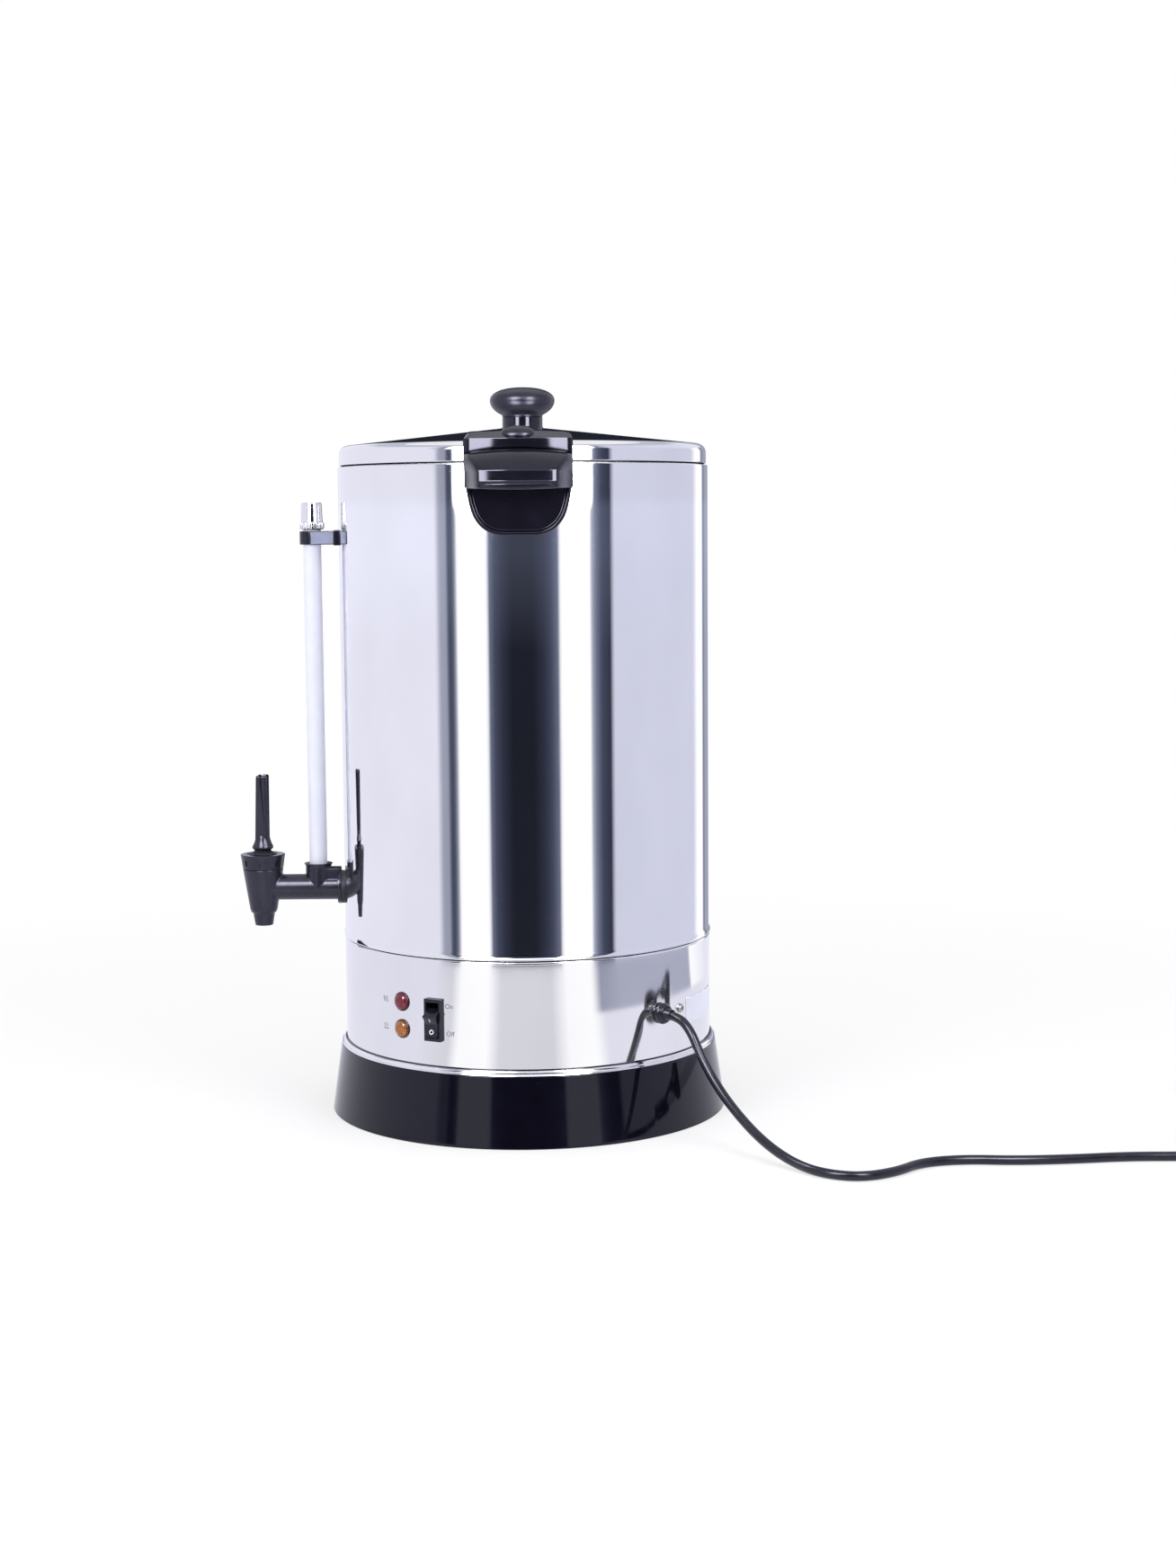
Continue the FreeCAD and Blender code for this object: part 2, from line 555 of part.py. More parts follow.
def route_wire(route):
    """A path of straight runs joined by tangent arcs, each as large as its two runs allow."""
    spots = [Vector(*spot) for spot in route]
    edges = []
    radii = []
    last = spots[0]
    for before, corner, after in zip(spots, spots[1:], spots[2:]):
        back = (before - corner).normalize()
        ahead = (after - corner).normalize()
        turn = math.pi - back.getAngle(ahead)
        reach = 0.45 * min((before - corner).Length, (after - corner).Length)
        radius = reach / math.tan(turn / 2)
        radii.append(radius)
        start = corner + back * reach
        finish = corner + ahead * reach
        inward = (back + ahead).normalize()
        centre = corner + inward * (radius / math.cos(turn / 2))
        crown = centre - inward * radius
        edges.append(Part.LineSegment(last, start).toShape())
        edges.append(Part.Arc(start, crown, finish).toShape())
        last = finish
    edges.append(Part.LineSegment(last, spots[-1]).toShape())
    return Part.Wire(edges), radii


def tube_along(route, radius):
    """A round solid along a route, and the radii of its bends."""
    path, radii = route_wire(route)
    first = Vector(*route[0])
    heading = (Vector(*route[1]) - first).normalize()
    ring = Part.Wire([Part.makeCircle(radius, first, heading)])
    solid = path.makePipeShell([ring], True, True)
    expected = math.pi * radius * radius * path.Length
    if abs(solid.Volume - expected) > 0.01 * expected:
        raise ValueError("a tube's volume is not its section times its length")
    return solid, radii, path.Length


def shaped(label, shape):
    """A sub-part whose shape is worked out here from the sheet's values."""
    item = document.addObject("Part::Feature", label + "_shape")
    item.Shape = shape
    return finished(item, label)


# The casing: base skirt, bright ring, lower band and upper shell.

LEDGE_FOOT = "(base_height - base_wall)"
COVER_TOP = "(cover_height + cover_wall)"
TAB_SCREW_PLACE = "(band_in - 0.1 - tab_leg * 0.6)"


def make_base():
    """The black base skirt with its ledge and four bosses for the bottom cover."""
    skirt = turned(
        "base_skirt_body",
        (
            ("base_foot_radius - base_wall", "0"),
            ("base_foot_radius", "0"),
            ("base_neck_radius", "base_height"),
            ("ledge_inner", "base_height"),
            ("ledge_inner", LEDGE_FOOT),
            ("base_neck_radius - base_wall", LEDGE_FOOT),
        ),
    )
    posts = [skirt]
    holes = []
    for index, angle in enumerate(BOSS_ANGLES):
        post = cylinder(
            "boss_%d" % index, "boss_radius", "base_height - base_wall / 2 - %s" % COVER_TOP,
            x="boss_place * cos(%s * 1deg)" % angle, y="boss_place * sin(%s * 1deg)" % angle,
            z=COVER_TOP,
        )
        hole = cylinder(
            "boss_hole_%d" % index, "cover_screw_radius + screw_gap", "14",
            x="boss_place * cos(%s * 1deg)" % angle, y="boss_place * sin(%s * 1deg)" % angle,
            z=COVER_TOP + " - 1",
        )
        posts.append(post)
        holes.append(hole)
    for index, angle in enumerate(TAB_ANGLES):
        holes.append(
            cylinder(
                "ledge_hole_%d" % index, "tab_screw_radius + screw_gap", "base_wall + 2",
                x="(%s) * cos(%s * 1deg)" % (TAB_SCREW_PLACE, angle),
                y="(%s) * sin(%s * 1deg)" % (TAB_SCREW_PLACE, angle),
                z=LEDGE_FOOT + " - 1",
            )
        )
    finished(carve("base_cut", union("base_body", posts), holes), "base_skirt")


def make_trim():
    """The bright ring that covers the joint of base and band."""
    ring = turned(
        "trim_ring",
        (
            ("band_out + 0.1", "base_height"),
            ("base_neck_radius", "base_height"),
            ("base_neck_radius - trim_slope", "base_height + trim_height"),
            ("band_out + 0.1", "base_height + trim_height"),
        ),
    )
    finished(ring, "trim_ring")


def make_band():
    """The lower band with its holes for switch, lamps, gland and earth screw."""
    sheet_ring = turned(
        "band_sheet",
        (
            ("band_in", "base_height"),
            ("band_out", "base_height"),
            ("band_out", "band_top"),
            ("band_in", "band_top"),
        ),
    )
    window = block(
        "switch_window", "6", "(switch_half_width - 0.6) * 2", "(switch_half_height - 1.6) * 2",
        x="-5", y="0.6 - switch_half_width", z="1.6 - switch_half_height",
    )
    holes = [on_band(group("switch_window_placed", [window]), "switch_angle", "panel_height")]
    for name, radius, angle, height in (
        ("heating_lamp_hole", "lamp_body_radius + screw_gap", "lamp_angle", "lamp_high"),
        ("warm_lamp_hole", "lamp_body_radius + screw_gap", "lamp_angle", "lamp_low"),
        ("gland_hole", "gland_neck_radius + screw_gap", "gland_angle", "gland_height"),
        ("earth_hole", "earth_screw_radius + screw_gap", "earth_angle", "earth_height"),
    ):
        bore = cylinder(name, radius, "12", x="-6", along="X")
        holes.append(on_band(group(name + "_placed", [bore]), angle, height))
    finished(carve("band_cut", sheet_ring, holes), "lower_band")


def make_shell():
    """The polished upper shell with its turned-in flange and its holes."""
    shell = turned(
        "shell_sheet",
        (
            ("body_radius - shell_wall", "band_top - band_lap"),
            ("body_radius", "band_top - band_lap"),
            ("body_radius", "shell_top - shoulder", "shoulder", "left"),
            ("body_radius - shoulder", "shell_top"),
            ("body_radius - shell_flange", "shell_top"),
            ("body_radius - shell_flange", "shell_top - shell_wall"),
            ("body_radius - shell_wall", "shell_top - shell_wall"),
        ),
    )
    holes = [
        cylinder(
            "shell_tap_hole", "shank_radius + shank_gap", "20",
            y="-body_radius - 5", z="tap_height", along="Y",
        ),
        cylinder(
            "shell_bracket_hole", "bracket_screw_radius + screw_gap", "20",
            y="-body_radius - 5", z="bracket_height", along="Y",
        ),
    ]
    holes += handle_bores("shell", "10", "body_radius - 6")
    finished(carve("shell_cut", shell, holes), "outer_shell")


def handle_bores(name, length, start):
    """Bores for the three screws of both handles."""
    bores = []
    for side, angle in HANDLE_SIDES:
        for index, (across, height) in enumerate(HANDLE_SCREWS):
            bore = cylinder(
                "%s_%s_bore_%d" % (name, side, index), "handle_screw_radius + screw_gap", length,
                x=start, y=across, z=height, along="X",
            )
            bores.append(round_about(group(bore.Name + "_placed", [bore]), angle))
    return bores


HANDLE_SCREWS = (
    ("handle_screw_spread", "handle_screw_high"),
    ("-handle_screw_spread", "handle_screw_high"),
    ("0", "handle_screw_low"),
)


def make_label():
    """The blank rating plate, bent to the band."""
    inner = number("band_out")
    height = number("label_height")
    outer = Part.makeCylinder(inner + number("label_wall"), height)
    plate = outer.cut(Part.makeCylinder(inner, height))
    half = math.radians(number("label_span") / 2)
    reach = inner * 1.2
    wedge = Part.Face(
        Part.makePolygon(
            [
                Vector(0, 0, 0),
                Vector(reach * math.cos(half), -reach * math.sin(half), 0),
                Vector(reach * math.cos(half), reach * math.sin(half), 0),
                Vector(0, 0, 0),
            ]
        )
    ).extrude(Vector(0, 0, height))
    item = shaped("rating_plate", plate.common(wedge))
    place(item, z="label_foot", turn="label_angle")


# The tank, the lid and its catches.


def make_tank():
    """The inner tank, hung by its rim flange on the shell's flange, with the heater's stud."""
    tank = turned(
        "tank_sheet",
        (
            ("0", "tank_floor"),
            ("tank_radius", "tank_floor"),
            ("tank_radius", "shell_top"),
            ("tank_flange_radius", "shell_top"),
            ("tank_flange_radius", "shell_top + tank_wall"),
            ("tank_radius - tank_wall", "shell_top + tank_wall"),
            ("tank_radius - tank_wall", "tank_floor + tank_wall"),
            ("0", "tank_floor + tank_wall"),
        ),
    )
    stud = cylinder(
        "tank_stud", "stud_radius", "tank_floor + tank_wall / 2 - %s + 9" % CLAMP_TOP,
        z=CLAMP_TOP + " - 9",
    )
    hole = cylinder(
        "tank_tap_hole", "shank_radius + shank_gap", "20",
        y="-tank_radius - 8", z="tap_height", along="Y",
    )
    finished(carve("tank_cut", union("tank_whole", [tank, stud]), [hole]), "inner_tank")


SKIRT_FOOT = "(shell_top + lid_gap)"
SKIRT_TOP = "(shell_top + lid_gap + lid_skirt)"
CONE_FOOT = "(shell_top + lid_gap + lid_skirt + lid_round)"
CROWN = "(shell_top + lid_gap + lid_skirt + lid_round + lid_rise)"
LID_SLOPE = "(lid_rise / (lid_radius - lid_round - lid_flat_radius))"
KNOB_FOOT = "(%s + collar_height)" % CROWN


def lid_outline(grow="0"):
    """The lid's outside as (radius, height) corners from its skirt's foot to its centre."""
    return (
        ("lid_radius + " + grow, SKIRT_FOOT),
        ("lid_radius + " + grow, SKIRT_TOP, "lid_round * 1.06", "left"),
        ("lid_radius - lid_round", CONE_FOOT + " + " + grow),
        ("lid_flat_radius", CROWN + " + " + grow),
    )


def make_lid():
    """The lid's sheet, its collar, knob, screw and washer."""
    hole = "knob_screw_radius + screw_gap"
    lid = turned(
        "lid_sheet",
        lid_outline()
        + (
            (hole, CROWN),
            (hole, CROWN + " - lid_wall"),
            ("lid_flat_radius", CROWN + " - lid_wall"),
            ("lid_radius - lid_round", CONE_FOOT + " - lid_wall"),
            ("lid_radius - lid_wall", SKIRT_TOP + " - 0.4"),
            ("lid_radius - lid_wall", SKIRT_FOOT),
        ),
    )
    holes = []
    for side, angle in HANDLE_SIDES:
        for index, across in enumerate(CATCH_SCREWS):
            bore = cylinder(
                "lid_%s_bore_%d" % (side, index), "catch_screw_radius + screw_gap", "8",
                x=CATCH_SCREW_PLACE, y=across, z=CONE_FOOT + " - 4",
            )
            holes.append(round_about(group(bore.Name + "_placed", [bore]), angle))
    finished(carve("lid_cut", lid, holes), "lid_shell")

    collar = turned(
        "knob_collar",
        (
            (hole, "0"),
            ("collar_radius + 0.5", "0"),
            ("collar_radius", "1"),
            ("collar_radius", "collar_height"),
            (hole, "collar_height"),
        ),
        z=CROWN,
    )
    finished(collar, "knob_collar")

    knob = turned(
        "knob_body",
        (
            ("0", "0"),
            ("collar_radius", "0"),
            ("knob_radius * 0.965", "knob_height * 0.37", "knob_radius * 0.244", "left"),
            ("knob_radius * 0.894", "knob_height * 0.734", "knob_radius * 1.62", "left"),
            ("1", "knob_height"),
            ("0", "knob_height"),
        ),
        z=KNOB_FOOT,
    )
    bore = cylinder("knob_bore", hole, "knob_screw_reach + 1", z=KNOB_FOOT + " - 1")
    finished(carve("knob_cut", knob, [bore]), "lid_knob")

    washer = cylinder("washer_disc", "7", "1", z=CROWN + " - lid_wall - 1")
    washer_bore = cylinder("washer_bore", hole, "3", z=CROWN + " - lid_wall - 2")

    shank = cylinder(
        "knob_screw_shank", "knob_screw_radius",
        "lid_wall + 1 + collar_height + knob_screw_reach - 0.5", z=CROWN + " - lid_wall - 1",
    )
    head = cylinder("knob_screw_head", "knob_screw_radius * 1.8", "3", z=CROWN + " - lid_wall - 4")
    screw = union("knob_screw_body", [shank, head])
    finished(group("knob_screw_set", [screw, carve("washer_cut", washer, [washer_bore])]), "knob_screw")


CATCH_SCREWS = ("catch_screw_spread", "-catch_screw_spread")
CATCH_SCREW_PLACE = "(lid_radius - catch_screw_inset)"
CATCH_BACK = "(body_radius + catch_reach - catch_depth)"
ARCH_RADIUS = "(handle_half_width * handle_half_width / (2 * grip_arch))"


def arch_body(name, top):
    """A long round bar across the urn, whose back gives a handle or a gap its arch."""
    return cylinder(name, ARCH_RADIUS, "200", x="60", z="%s - %s" % (top, ARCH_RADIUS), along="X")


def make_catch(side, angle):
    """A lid catch: a block screwed on the lid's edge over a side handle."""
    front = "(body_radius + catch_reach)"
    side_view = extruded(
        side + "_catch_side",
        "XZ",
        (
            (CATCH_BACK, "catch_foot - 4"),
            (front, "catch_foot - 4"),
            (front, "catch_top - catch_slope_drop"),
            (front + " - catch_slope_depth", "catch_top"),
            (CATCH_BACK, "catch_top"),
        ),
        "handle_half_width * 2",
    )
    front_view = extruded(
        side + "_catch_front",
        "YZ",
        (
            ("-handle_half_width", "catch_foot - 6"),
            ("handle_half_width", "catch_foot - 6"),
            ("handle_half_width", "catch_top - catch_corner_drop", "catch_corner_radius", "left"),
            ("handle_half_width - catch_corner_width", "catch_top"),
            ("catch_corner_width - handle_half_width", "catch_top", "catch_corner_radius", "left"),
            ("-handle_half_width", "catch_top - catch_corner_drop"),
        ),
        "400",
    )
    core = overlap(side + "_catch_core", side_view, front_view)
    button = document.addObject("Part::Ellipsoid", side + "_button")
    bind(
        button, Radius1="catch_button_rise", Radius2="catch_button_radius",
        Radius3="catch_button_radius",
    )
    place(
        button, x=front + " - catch_slope_depth * 0.8",
        z="catch_top + catch_button_proud - catch_button_rise",
    )
    cavity = turned(
        side + "_catch_seat",
        (("60", SKIRT_FOOT + " - 30"), ("lid_radius", SKIRT_FOOT + " - 30"))
        + lid_outline()[:3]
        + ((("lid_flat_radius + 20"), CROWN + " - 20 * " + LID_SLOPE), ("60", SKIRT_FOOT + " - 10")),
    )
    bores = [
        cylinder(
            "%s_catch_bore_%d" % (side, index), "catch_screw_radius + screw_gap", "6.4",
            x=CATCH_SCREW_PLACE, y=across, z="catch_top - 8",
        )
        for index, across in enumerate(CATCH_SCREWS)
    ]
    whole = union(side + "_catch_whole", [core, button])
    tools = [cavity, arch_body(side + "_catch_arch", "catch_foot")] + bores
    catch = carve(side + "_catch_cut", whole, tools)
    name = side.replace("handle", "catch")
    finished(round_about(group(name, [catch]), angle), name)


def make_catch_screws():
    """Four small screws that hold the catches from under the lid."""
    screws = []
    for side, angle in HANDLE_SIDES:
        for index, across in enumerate(CATCH_SCREWS):
            head_top = "%s - lid_wall + (lid_radius - lid_round - %s - 6) * %s" % (
                CONE_FOOT, CATCH_SCREW_PLACE, LID_SLOPE,
            )
            shank = cylinder(
                "%s_screw_shank_%d" % (side, index), "catch_screw_radius",
                "catch_top - 2 - (%s)" % head_top, x=CATCH_SCREW_PLACE, y=across, z=head_top,
            )
            head = cylinder(
                "%s_screw_head_%d" % (side, index), "catch_screw_head", "catch_screw_head * 0.6",
                x=CATCH_SCREW_PLACE, y=across, z=head_top + " - catch_screw_head * 0.6",
            )
            screw = union("%s_screw_%d" % (side, index), [shank, head])
            screws.append(round_about(group(screw.Name + "_placed", [screw]), angle))
    finished(group("catch_screw_group", screws), "catch_screws")


# The side handles.


def make_handle(side, angle):
    """A side handle: a hollow grip over a back plate with a thin rim."""
    front = "(body_radius + grip_reach)"
    back = "(body_radius - 12)"
    face = "(body_radius + plate_face)"
    side_view = extruded(
        side + "_side",
        "XZ",
        (
            (back, "grip_lip"),
            (front + " - 4", "grip_lip", "5.6", "left"),
            (front, "grip_front_foot"),
            (front, "grip_front_top", "grip_shoulder * 1.35", "left"),
            (front + " - grip_shoulder", "grip_top"),
            (back, "grip_top"),
        ),
        "handle_half_width * 2",
    )
    plan = extruded(
        side + "_plan",
        "XY",
        (
            (back, "-handle_half_width"),
            (front + " - grip_shoulder", "-handle_half_width"),
            (front, "-grip_nose_half"),
            (front, "grip_nose_half"),
            (front + " - grip_shoulder", "handle_half_width"),
            (back, "handle_half_width"),
        ),
        "2000",
    )
    grip = overlap(side + "_grip", side_view, plan)
    arched = overlap(side + "_arched", grip, arch_body(side + "_arch", "grip_top"))
    hollow_side = extruded(
        side + "_hollow_side",
        "XZ",
        (
            (face, "grip_lip - 10"),
            (front + " - grip_wall", "grip_lip - 10"),
            (front + " - grip_wall", "grip_front_top - grip_wall * 0.4",
             "grip_shoulder * 1.35", "left"),
            (front + " - grip_shoulder - grip_wall * 0.4", "grip_top - grip_arch - grip_wall"),
            (face, "grip_top - grip_arch - grip_wall"),
        ),
        "handle_half_width * 2",
    )
    hollow_plan = extruded(
        side + "_hollow_plan",
        "XY",
        (
            (face, "grip_wall - handle_half_width"),
            (front + " - grip_shoulder", "grip_wall - handle_half_width"),
            (front, "grip_wall * 1.15 - grip_nose_half"),
            (front, "grip_nose_half - grip_wall * 1.15"),
            (front + " - grip_shoulder", "handle_half_width - grip_wall"),
            (face, "handle_half_width - grip_wall"),
        ),
        "2000",
    )
    hollow = overlap(side + "_hollow", hollow_side, hollow_plan)
    shelf = carve(side + "_shelf", arched, [hollow])
    plate = extruded(side + "_plate", "YZ", plate_outline("0"), "body_radius * 2 + plate_face * 2")
    window = extruded(side + "_window", "YZ", plate_outline("plate_rim"), "grip_reach", False)
    place(window, x=face)
    rim_limit = block(
        side + "_rim_limit", face + " + plate_rim * 0.8 - %s" % back, "handle_half_width * 2",
        "grip_lip + 6 - plate_foot", x=back, y="-handle_half_width", z="plate_foot",
    )
    rimmed = overlap(side + "_rimmed", plate, rim_limit)
    shell_seat = cylinder(
        side + "_seat", "body_radius + handle_seat", "200", z="plate_foot - 50",
    )
    whole = union(side + "_whole", [shelf, carve(side + "_plate_cut", rimmed, [window])])
    bores = [
        cylinder(
            "%s_own_bore_%d" % (side, index), "handle_screw_radius + screw_gap",
            "handle_screw_bite + 0.4 + 8", x="body_radius - 8", y=across, z=height, along="X",
        )
        for index, (across, height) in enumerate(HANDLE_SCREWS)
    ]
    handle = carve(side + "_cut", whole, [shell_seat] + bores)
    finished(round_about(group(side, [handle]), angle), side)


def plate_outline(inset):
    """A handle's back plate seen from the front, its edge moved in by an inset."""
    wide = "(handle_half_width - 1 - %s)" % inset
    waist = "(plate_waist_half - %s)" % inset
    foot = "(plate_foot_half - %s / 2)" % inset
    low = "(plate_foot + %s)" % inset
    knee = "(plate_foot + plate_corner_height)"
    return (
        ("-" + foot, low),
        (foot, low, "plate_corner", "left"),
        (waist, knee),
        (wide, "(grip_lip + 8)"),
        ("-" + wide, "(grip_lip + 8)"),
        ("-" + waist, knee, "plate_corner", "left"),
    )


def make_handle_fixings():
    """Bent steel plates inside the shell and the screws that go through them."""
    bracings = []
    screws = []
    for side, angle in HANDLE_SIDES:
        ring = turned(
            side + "_bracing_ring",
            (
                ("body_radius - shell_wall - bracing_wall - 0.1", "plate_foot + 4"),
                ("body_radius - shell_wall - 0.1", "plate_foot + 4"),
                ("body_radius - shell_wall - 0.1", "shell_top - shell_wall - 1"),
                ("body_radius - shell_wall - bracing_wall - 0.1", "shell_top - shell_wall - 1"),
            ),
        )
        limit = block(
            side + "_bracing_limit", "40", "(handle_screw_spread + 9) * 2", "80",
            x="body_radius - 36", y="-handle_screw_spread - 9", z="plate_foot",
        )
        strip = overlap(side + "_bracing_strip", ring, limit)
        bores = [
            cylinder(
                "%s_bracing_bore_%d" % (side, index), "handle_screw_radius + screw_gap", "30",
                x="body_radius - 24", y=across, z=height, along="X",
            )
            for index, (across, height) in enumerate(HANDLE_SCREWS)
        ]
        bracing = carve(side + "_bracing_cut", strip, bores)
        bracings.append(round_about(group(side + "_bracing", [bracing]), angle))
        for index, (across, height) in enumerate(HANDLE_SCREWS):
            wall_reach = "(sqrt((body_radius - shell_wall - bracing_wall - 0.1)^2 - "
            head_face = wall_reach + "(abs(%s) + handle_screw_head)^2))" % across
            shank = cylinder(
                "%s_bolt_shank_%d" % (side, index), "handle_screw_radius",
                "body_radius + handle_screw_bite - %s" % head_face,
                x=head_face, y=across, z=height, along="X",
            )
            if across != "0":
                bind(shank, Height="body_radius + handle_screw_bite - 2 - %s" % head_face)
            head = cylinder(
                "%s_bolt_head_%d" % (side, index), "handle_screw_head", "2",
                x=head_face + " - 2", y=across, z=height, along="X",
            )
            bolt = union("%s_bolt_%d" % (side, index), [shank, head])
            screws.append(round_about(group(bolt.Name + "_placed", [bolt]), angle))
    finished(group("bracing_group", bracings), "handle_bracings")
    finished(group("bolt_group", screws), "handle_screws")


# The tap.

TAP_Y = "(-body_radius - tap_reach)"
GAUGE_Y = "(-body_radius - gauge_reach)"
CUP_TOP = "(seat_height + 0.2 + cup_height)"
BONNET_CEILING = "(tap_cone_top + 0.1 + tap_neck_height + 0.2)"


def make_tap_body():
    """The tap's moulded body: cone, spout, arm, gauge socket, flange and shank."""
    flange_back = "(-body_radius - gasket_width)"
    cone_body = turned(
        "tap_cone",
        (
            ("0", "tap_bottom - spout_length"),
            ("spout_end_radius", "tap_bottom - spout_length"),
            ("spout_radius", "tap_bottom"),
            ("tap_foot_radius - 1.4", "tap_bottom"),
            ("tap_foot_radius", "tap_bottom + 2.6"),
            ("tap_head_radius", "tap_cone_top"),
            ("tap_neck_radius", "tap_cone_top"),
            ("tap_neck_radius", "tap_cone_top + tap_neck_height"),
            ("0", "tap_cone_top + tap_neck_height"),
        ),
        y=TAP_Y,
    )
    arm = cylinder(
        "tap_arm", "arm_radius", "tap_reach - gasket_width - 1",
        y=TAP_Y, z="tap_height", along="Y",
    )
    flange = cylinder(
        "tap_flange", "flange_radius", "flange_width",
        y=flange_back + " - flange_width", z="tap_height", along="Y",
    )
    shank = cylinder(
        "tap_shank", "shank_radius", "gasket_width + body_radius - tank_radius + shank_reach + 1",
        y=flange_back + " - 1", z="tap_height", along="Y",
    )
    socket = cylinder(
        "gauge_socket", "socket_radius", "socket_top - 2 - tap_height",
        y=GAUGE_Y, z="tap_height",
    )
    lip = cone(
        "gauge_socket_lip", "socket_radius", "socket_radius + socket_lip", "2",
        y=GAUGE_Y, z="socket_top - 2",
    )
    rib = block(
        "gauge_socket_rib", "socket_radius * 1.5", "gauge_reach - gasket_width - 1", "15",
        x="-socket_radius * 0.75", y=GAUGE_Y, z="tap_height",
    )
    moulding = union("tap_moulding", [cone_body, arm, flange, shank, socket, lip, rib])
    bores = [
        cylinder(
            "spout_bore", "spout_bore", "seat_height + 1 - tap_bottom + spout_length",
            y=TAP_Y, z="tap_bottom - spout_length - 0.5",
        ),
        cylinder("chamber_bore", "chamber_radius", "60", y=TAP_Y, z="seat_height"),
        cylinder("arm_bore_cut", "arm_bore", "300", y=TAP_Y, z="tap_height", along="Y"),
        cylinder(
            "socket_bore", "gauge_radius + gauge_play", "30", y=GAUGE_Y, z="socket_floor",
        ),
        cylinder("socket_passage", "gauge_bore - 1", "20", y=GAUGE_Y, z="tap_height"),
    ]
    finished(carve("tap_cut", moulding, bores), "tap_body")


def make_bonnet():
    """The slotted bonnet on the tap's neck and the rubber ring on top of it."""
    bonnet, sketch = sketched(
        "bonnet_body",
        "XZ",
        (
            ("tap_neck_radius + 0.1", "0.1"),
            ("tap_head_radius", "0.1"),
            ("tap_head_radius + bonnet_flare", "bonnet_height"),
            ("tap_neck_radius", "bonnet_height"),
            ("tap_neck_radius - 1", "bonnet_height - 1.4"),
            ("boot_radius + 1", "bonnet_height - 1.4"),
            ("boot_radius + 0.6", "bonnet_height"),
            ("stem_radius + stem_play", "bonnet_height"),
            ("stem_radius + stem_play", "tap_neck_height + 0.3"),
            ("tap_neck_radius + 0.1", "tap_neck_height + 0.3"),
        ),
    )
    spin = bonnet.newObject("PartDesign::Revolution", "bonnet_spin")
    spin.Profile = sketch
    spin.ReferenceAxis = (sketch, ["V_Axis"])
    spin.Angle = 360
    slot_sketch = bonnet.newObject("Sketcher::SketchObject", "bonnet_slot_outline")
    support = [item for item in bonnet.Origin.OriginFeatures if item.Role == "XY_Plane"][0]
    slot_sketch.AttachmentSupport = [(support, "")]
    slot_sketch.MapMode = "FlatFace"
    bind(slot_sketch, **{".AttachmentOffset.Base.z": "bonnet_height * 0.25"})
    draw(
        slot_sketch,
        (
            ("tap_head_radius - 0.5", "-1"),
            ("tap_head_radius + 5", "-1"),
            ("tap_head_radius + 5", "1"),
            ("tap_head_radius - 0.5", "1"),
        ),
    )
    document.recompute()
    slot = bonnet.newObject("PartDesign::Pocket", "bonnet_slot")
    slot.Profile = slot_sketch
    slot.Reversed = True
    bind(slot, Length="bonnet_height * 0.4")
    axis = [item for item in bonnet.Origin.OriginFeatures if item.Role == "Z_Axis"][0]
    pattern = bonnet.newObject("PartDesign::PolarPattern", "bonnet_slots_pattern")
    pattern.Originals = [slot]
    pattern.Axis = (axis, [""])
    pattern.Angle = 360
    bind(pattern, Occurrences="bonnet_slots")
    bonnet.Tip = pattern
    place(bonnet, y=TAP_Y, z="tap_cone_top")
    finished(bonnet, "tap_bonnet")

    boot = turned(
        "stem_boot",
        (
            ("stem_radius + stem_play", "0.1"),
            ("boot_radius", "0.1"),
            ("boot_radius", "boot_height * 0.5"),
            ("boot_radius - 1.6", "boot_height + 0.1"),
            ("stem_radius + stem_play", "boot_height + 0.1"),
        ),
        y=TAP_Y, z="boot_foot",
    )
    finished(boot, "stem_boot")


def make_stem():
    """The valve stem, its seat cup and the pin for the lever."""
    cup = turned(
        "cup_body",
        (
            ("0", "0"),
            ("cup_radius", "0"),
            ("cup_radius", "cup_height * 0.35"),
            ("stem_radius + 2.4", "cup_height"),
            ("stem_radius + 0.05", "cup_height"),
            ("stem_radius + 0.05", "cup_height * 0.45"),
            ("0", "cup_height * 0.45"),
        ),
        y=TAP_Y, z="seat_height + 0.2",
    )
    finished(cup, "seat_cup")

    lower = "(seat_height + 0.2 + cup_height * 0.45 + 0.05)"
    shank = cylinder(
        "stem_shank", "stem_radius", "lever_pin_height + stem_tip - %s" % lower,
        y=TAP_Y, z=lower,
    )
    shoulder = cylinder("stem_shoulder", "spring_radius + 1.4", "1.4", y=TAP_Y, z=CUP_TOP + " + 0.1")
    stem = union("stem_whole", [shank, shoulder])
    bore = cylinder(
        "stem_pin_bore", "lever_pin_radius + 0.01", "20",
        x="-10", y=TAP_Y, z="lever_pin_height", along="X",
    )
    finished(carve("stem_cut", stem, [bore]), "tap_stem")

    pin = cylinder(
        "lever_pin_bar", "lever_pin_radius", "lever_foot_radius * 1.3",
        x="-lever_foot_radius * 0.65", y=TAP_Y, z="lever_pin_height", along="X",
    )
    finished(pin, "lever_pin")


def make_spring():
    """The coil spring that presses the seat cup down."""
    low = number(CUP_TOP + " + 0.1 + 1.4") + number("spring_wire") + 0.05
    high = number(BONNET_CEILING) - number("spring_wire") - 0.05
    height = high - low
    radius = number("spring_radius")
    helix = Part.makeHelix(height / number("spring_turns"), height, radius)
    ring = Part.Wire([Part.makeCircle(number("spring_wire"), Vector(radius, 0, 0), Vector(0, 1, 0))])
    coil = Part.Wire(helix.Edges).makePipeShell([ring], True, True)
    item = shaped("tap_spring", coil)
    place(item, y=TAP_Y, z=CUP_TOP + " + 0.1 + 1.4 + spring_wire + 0.05")


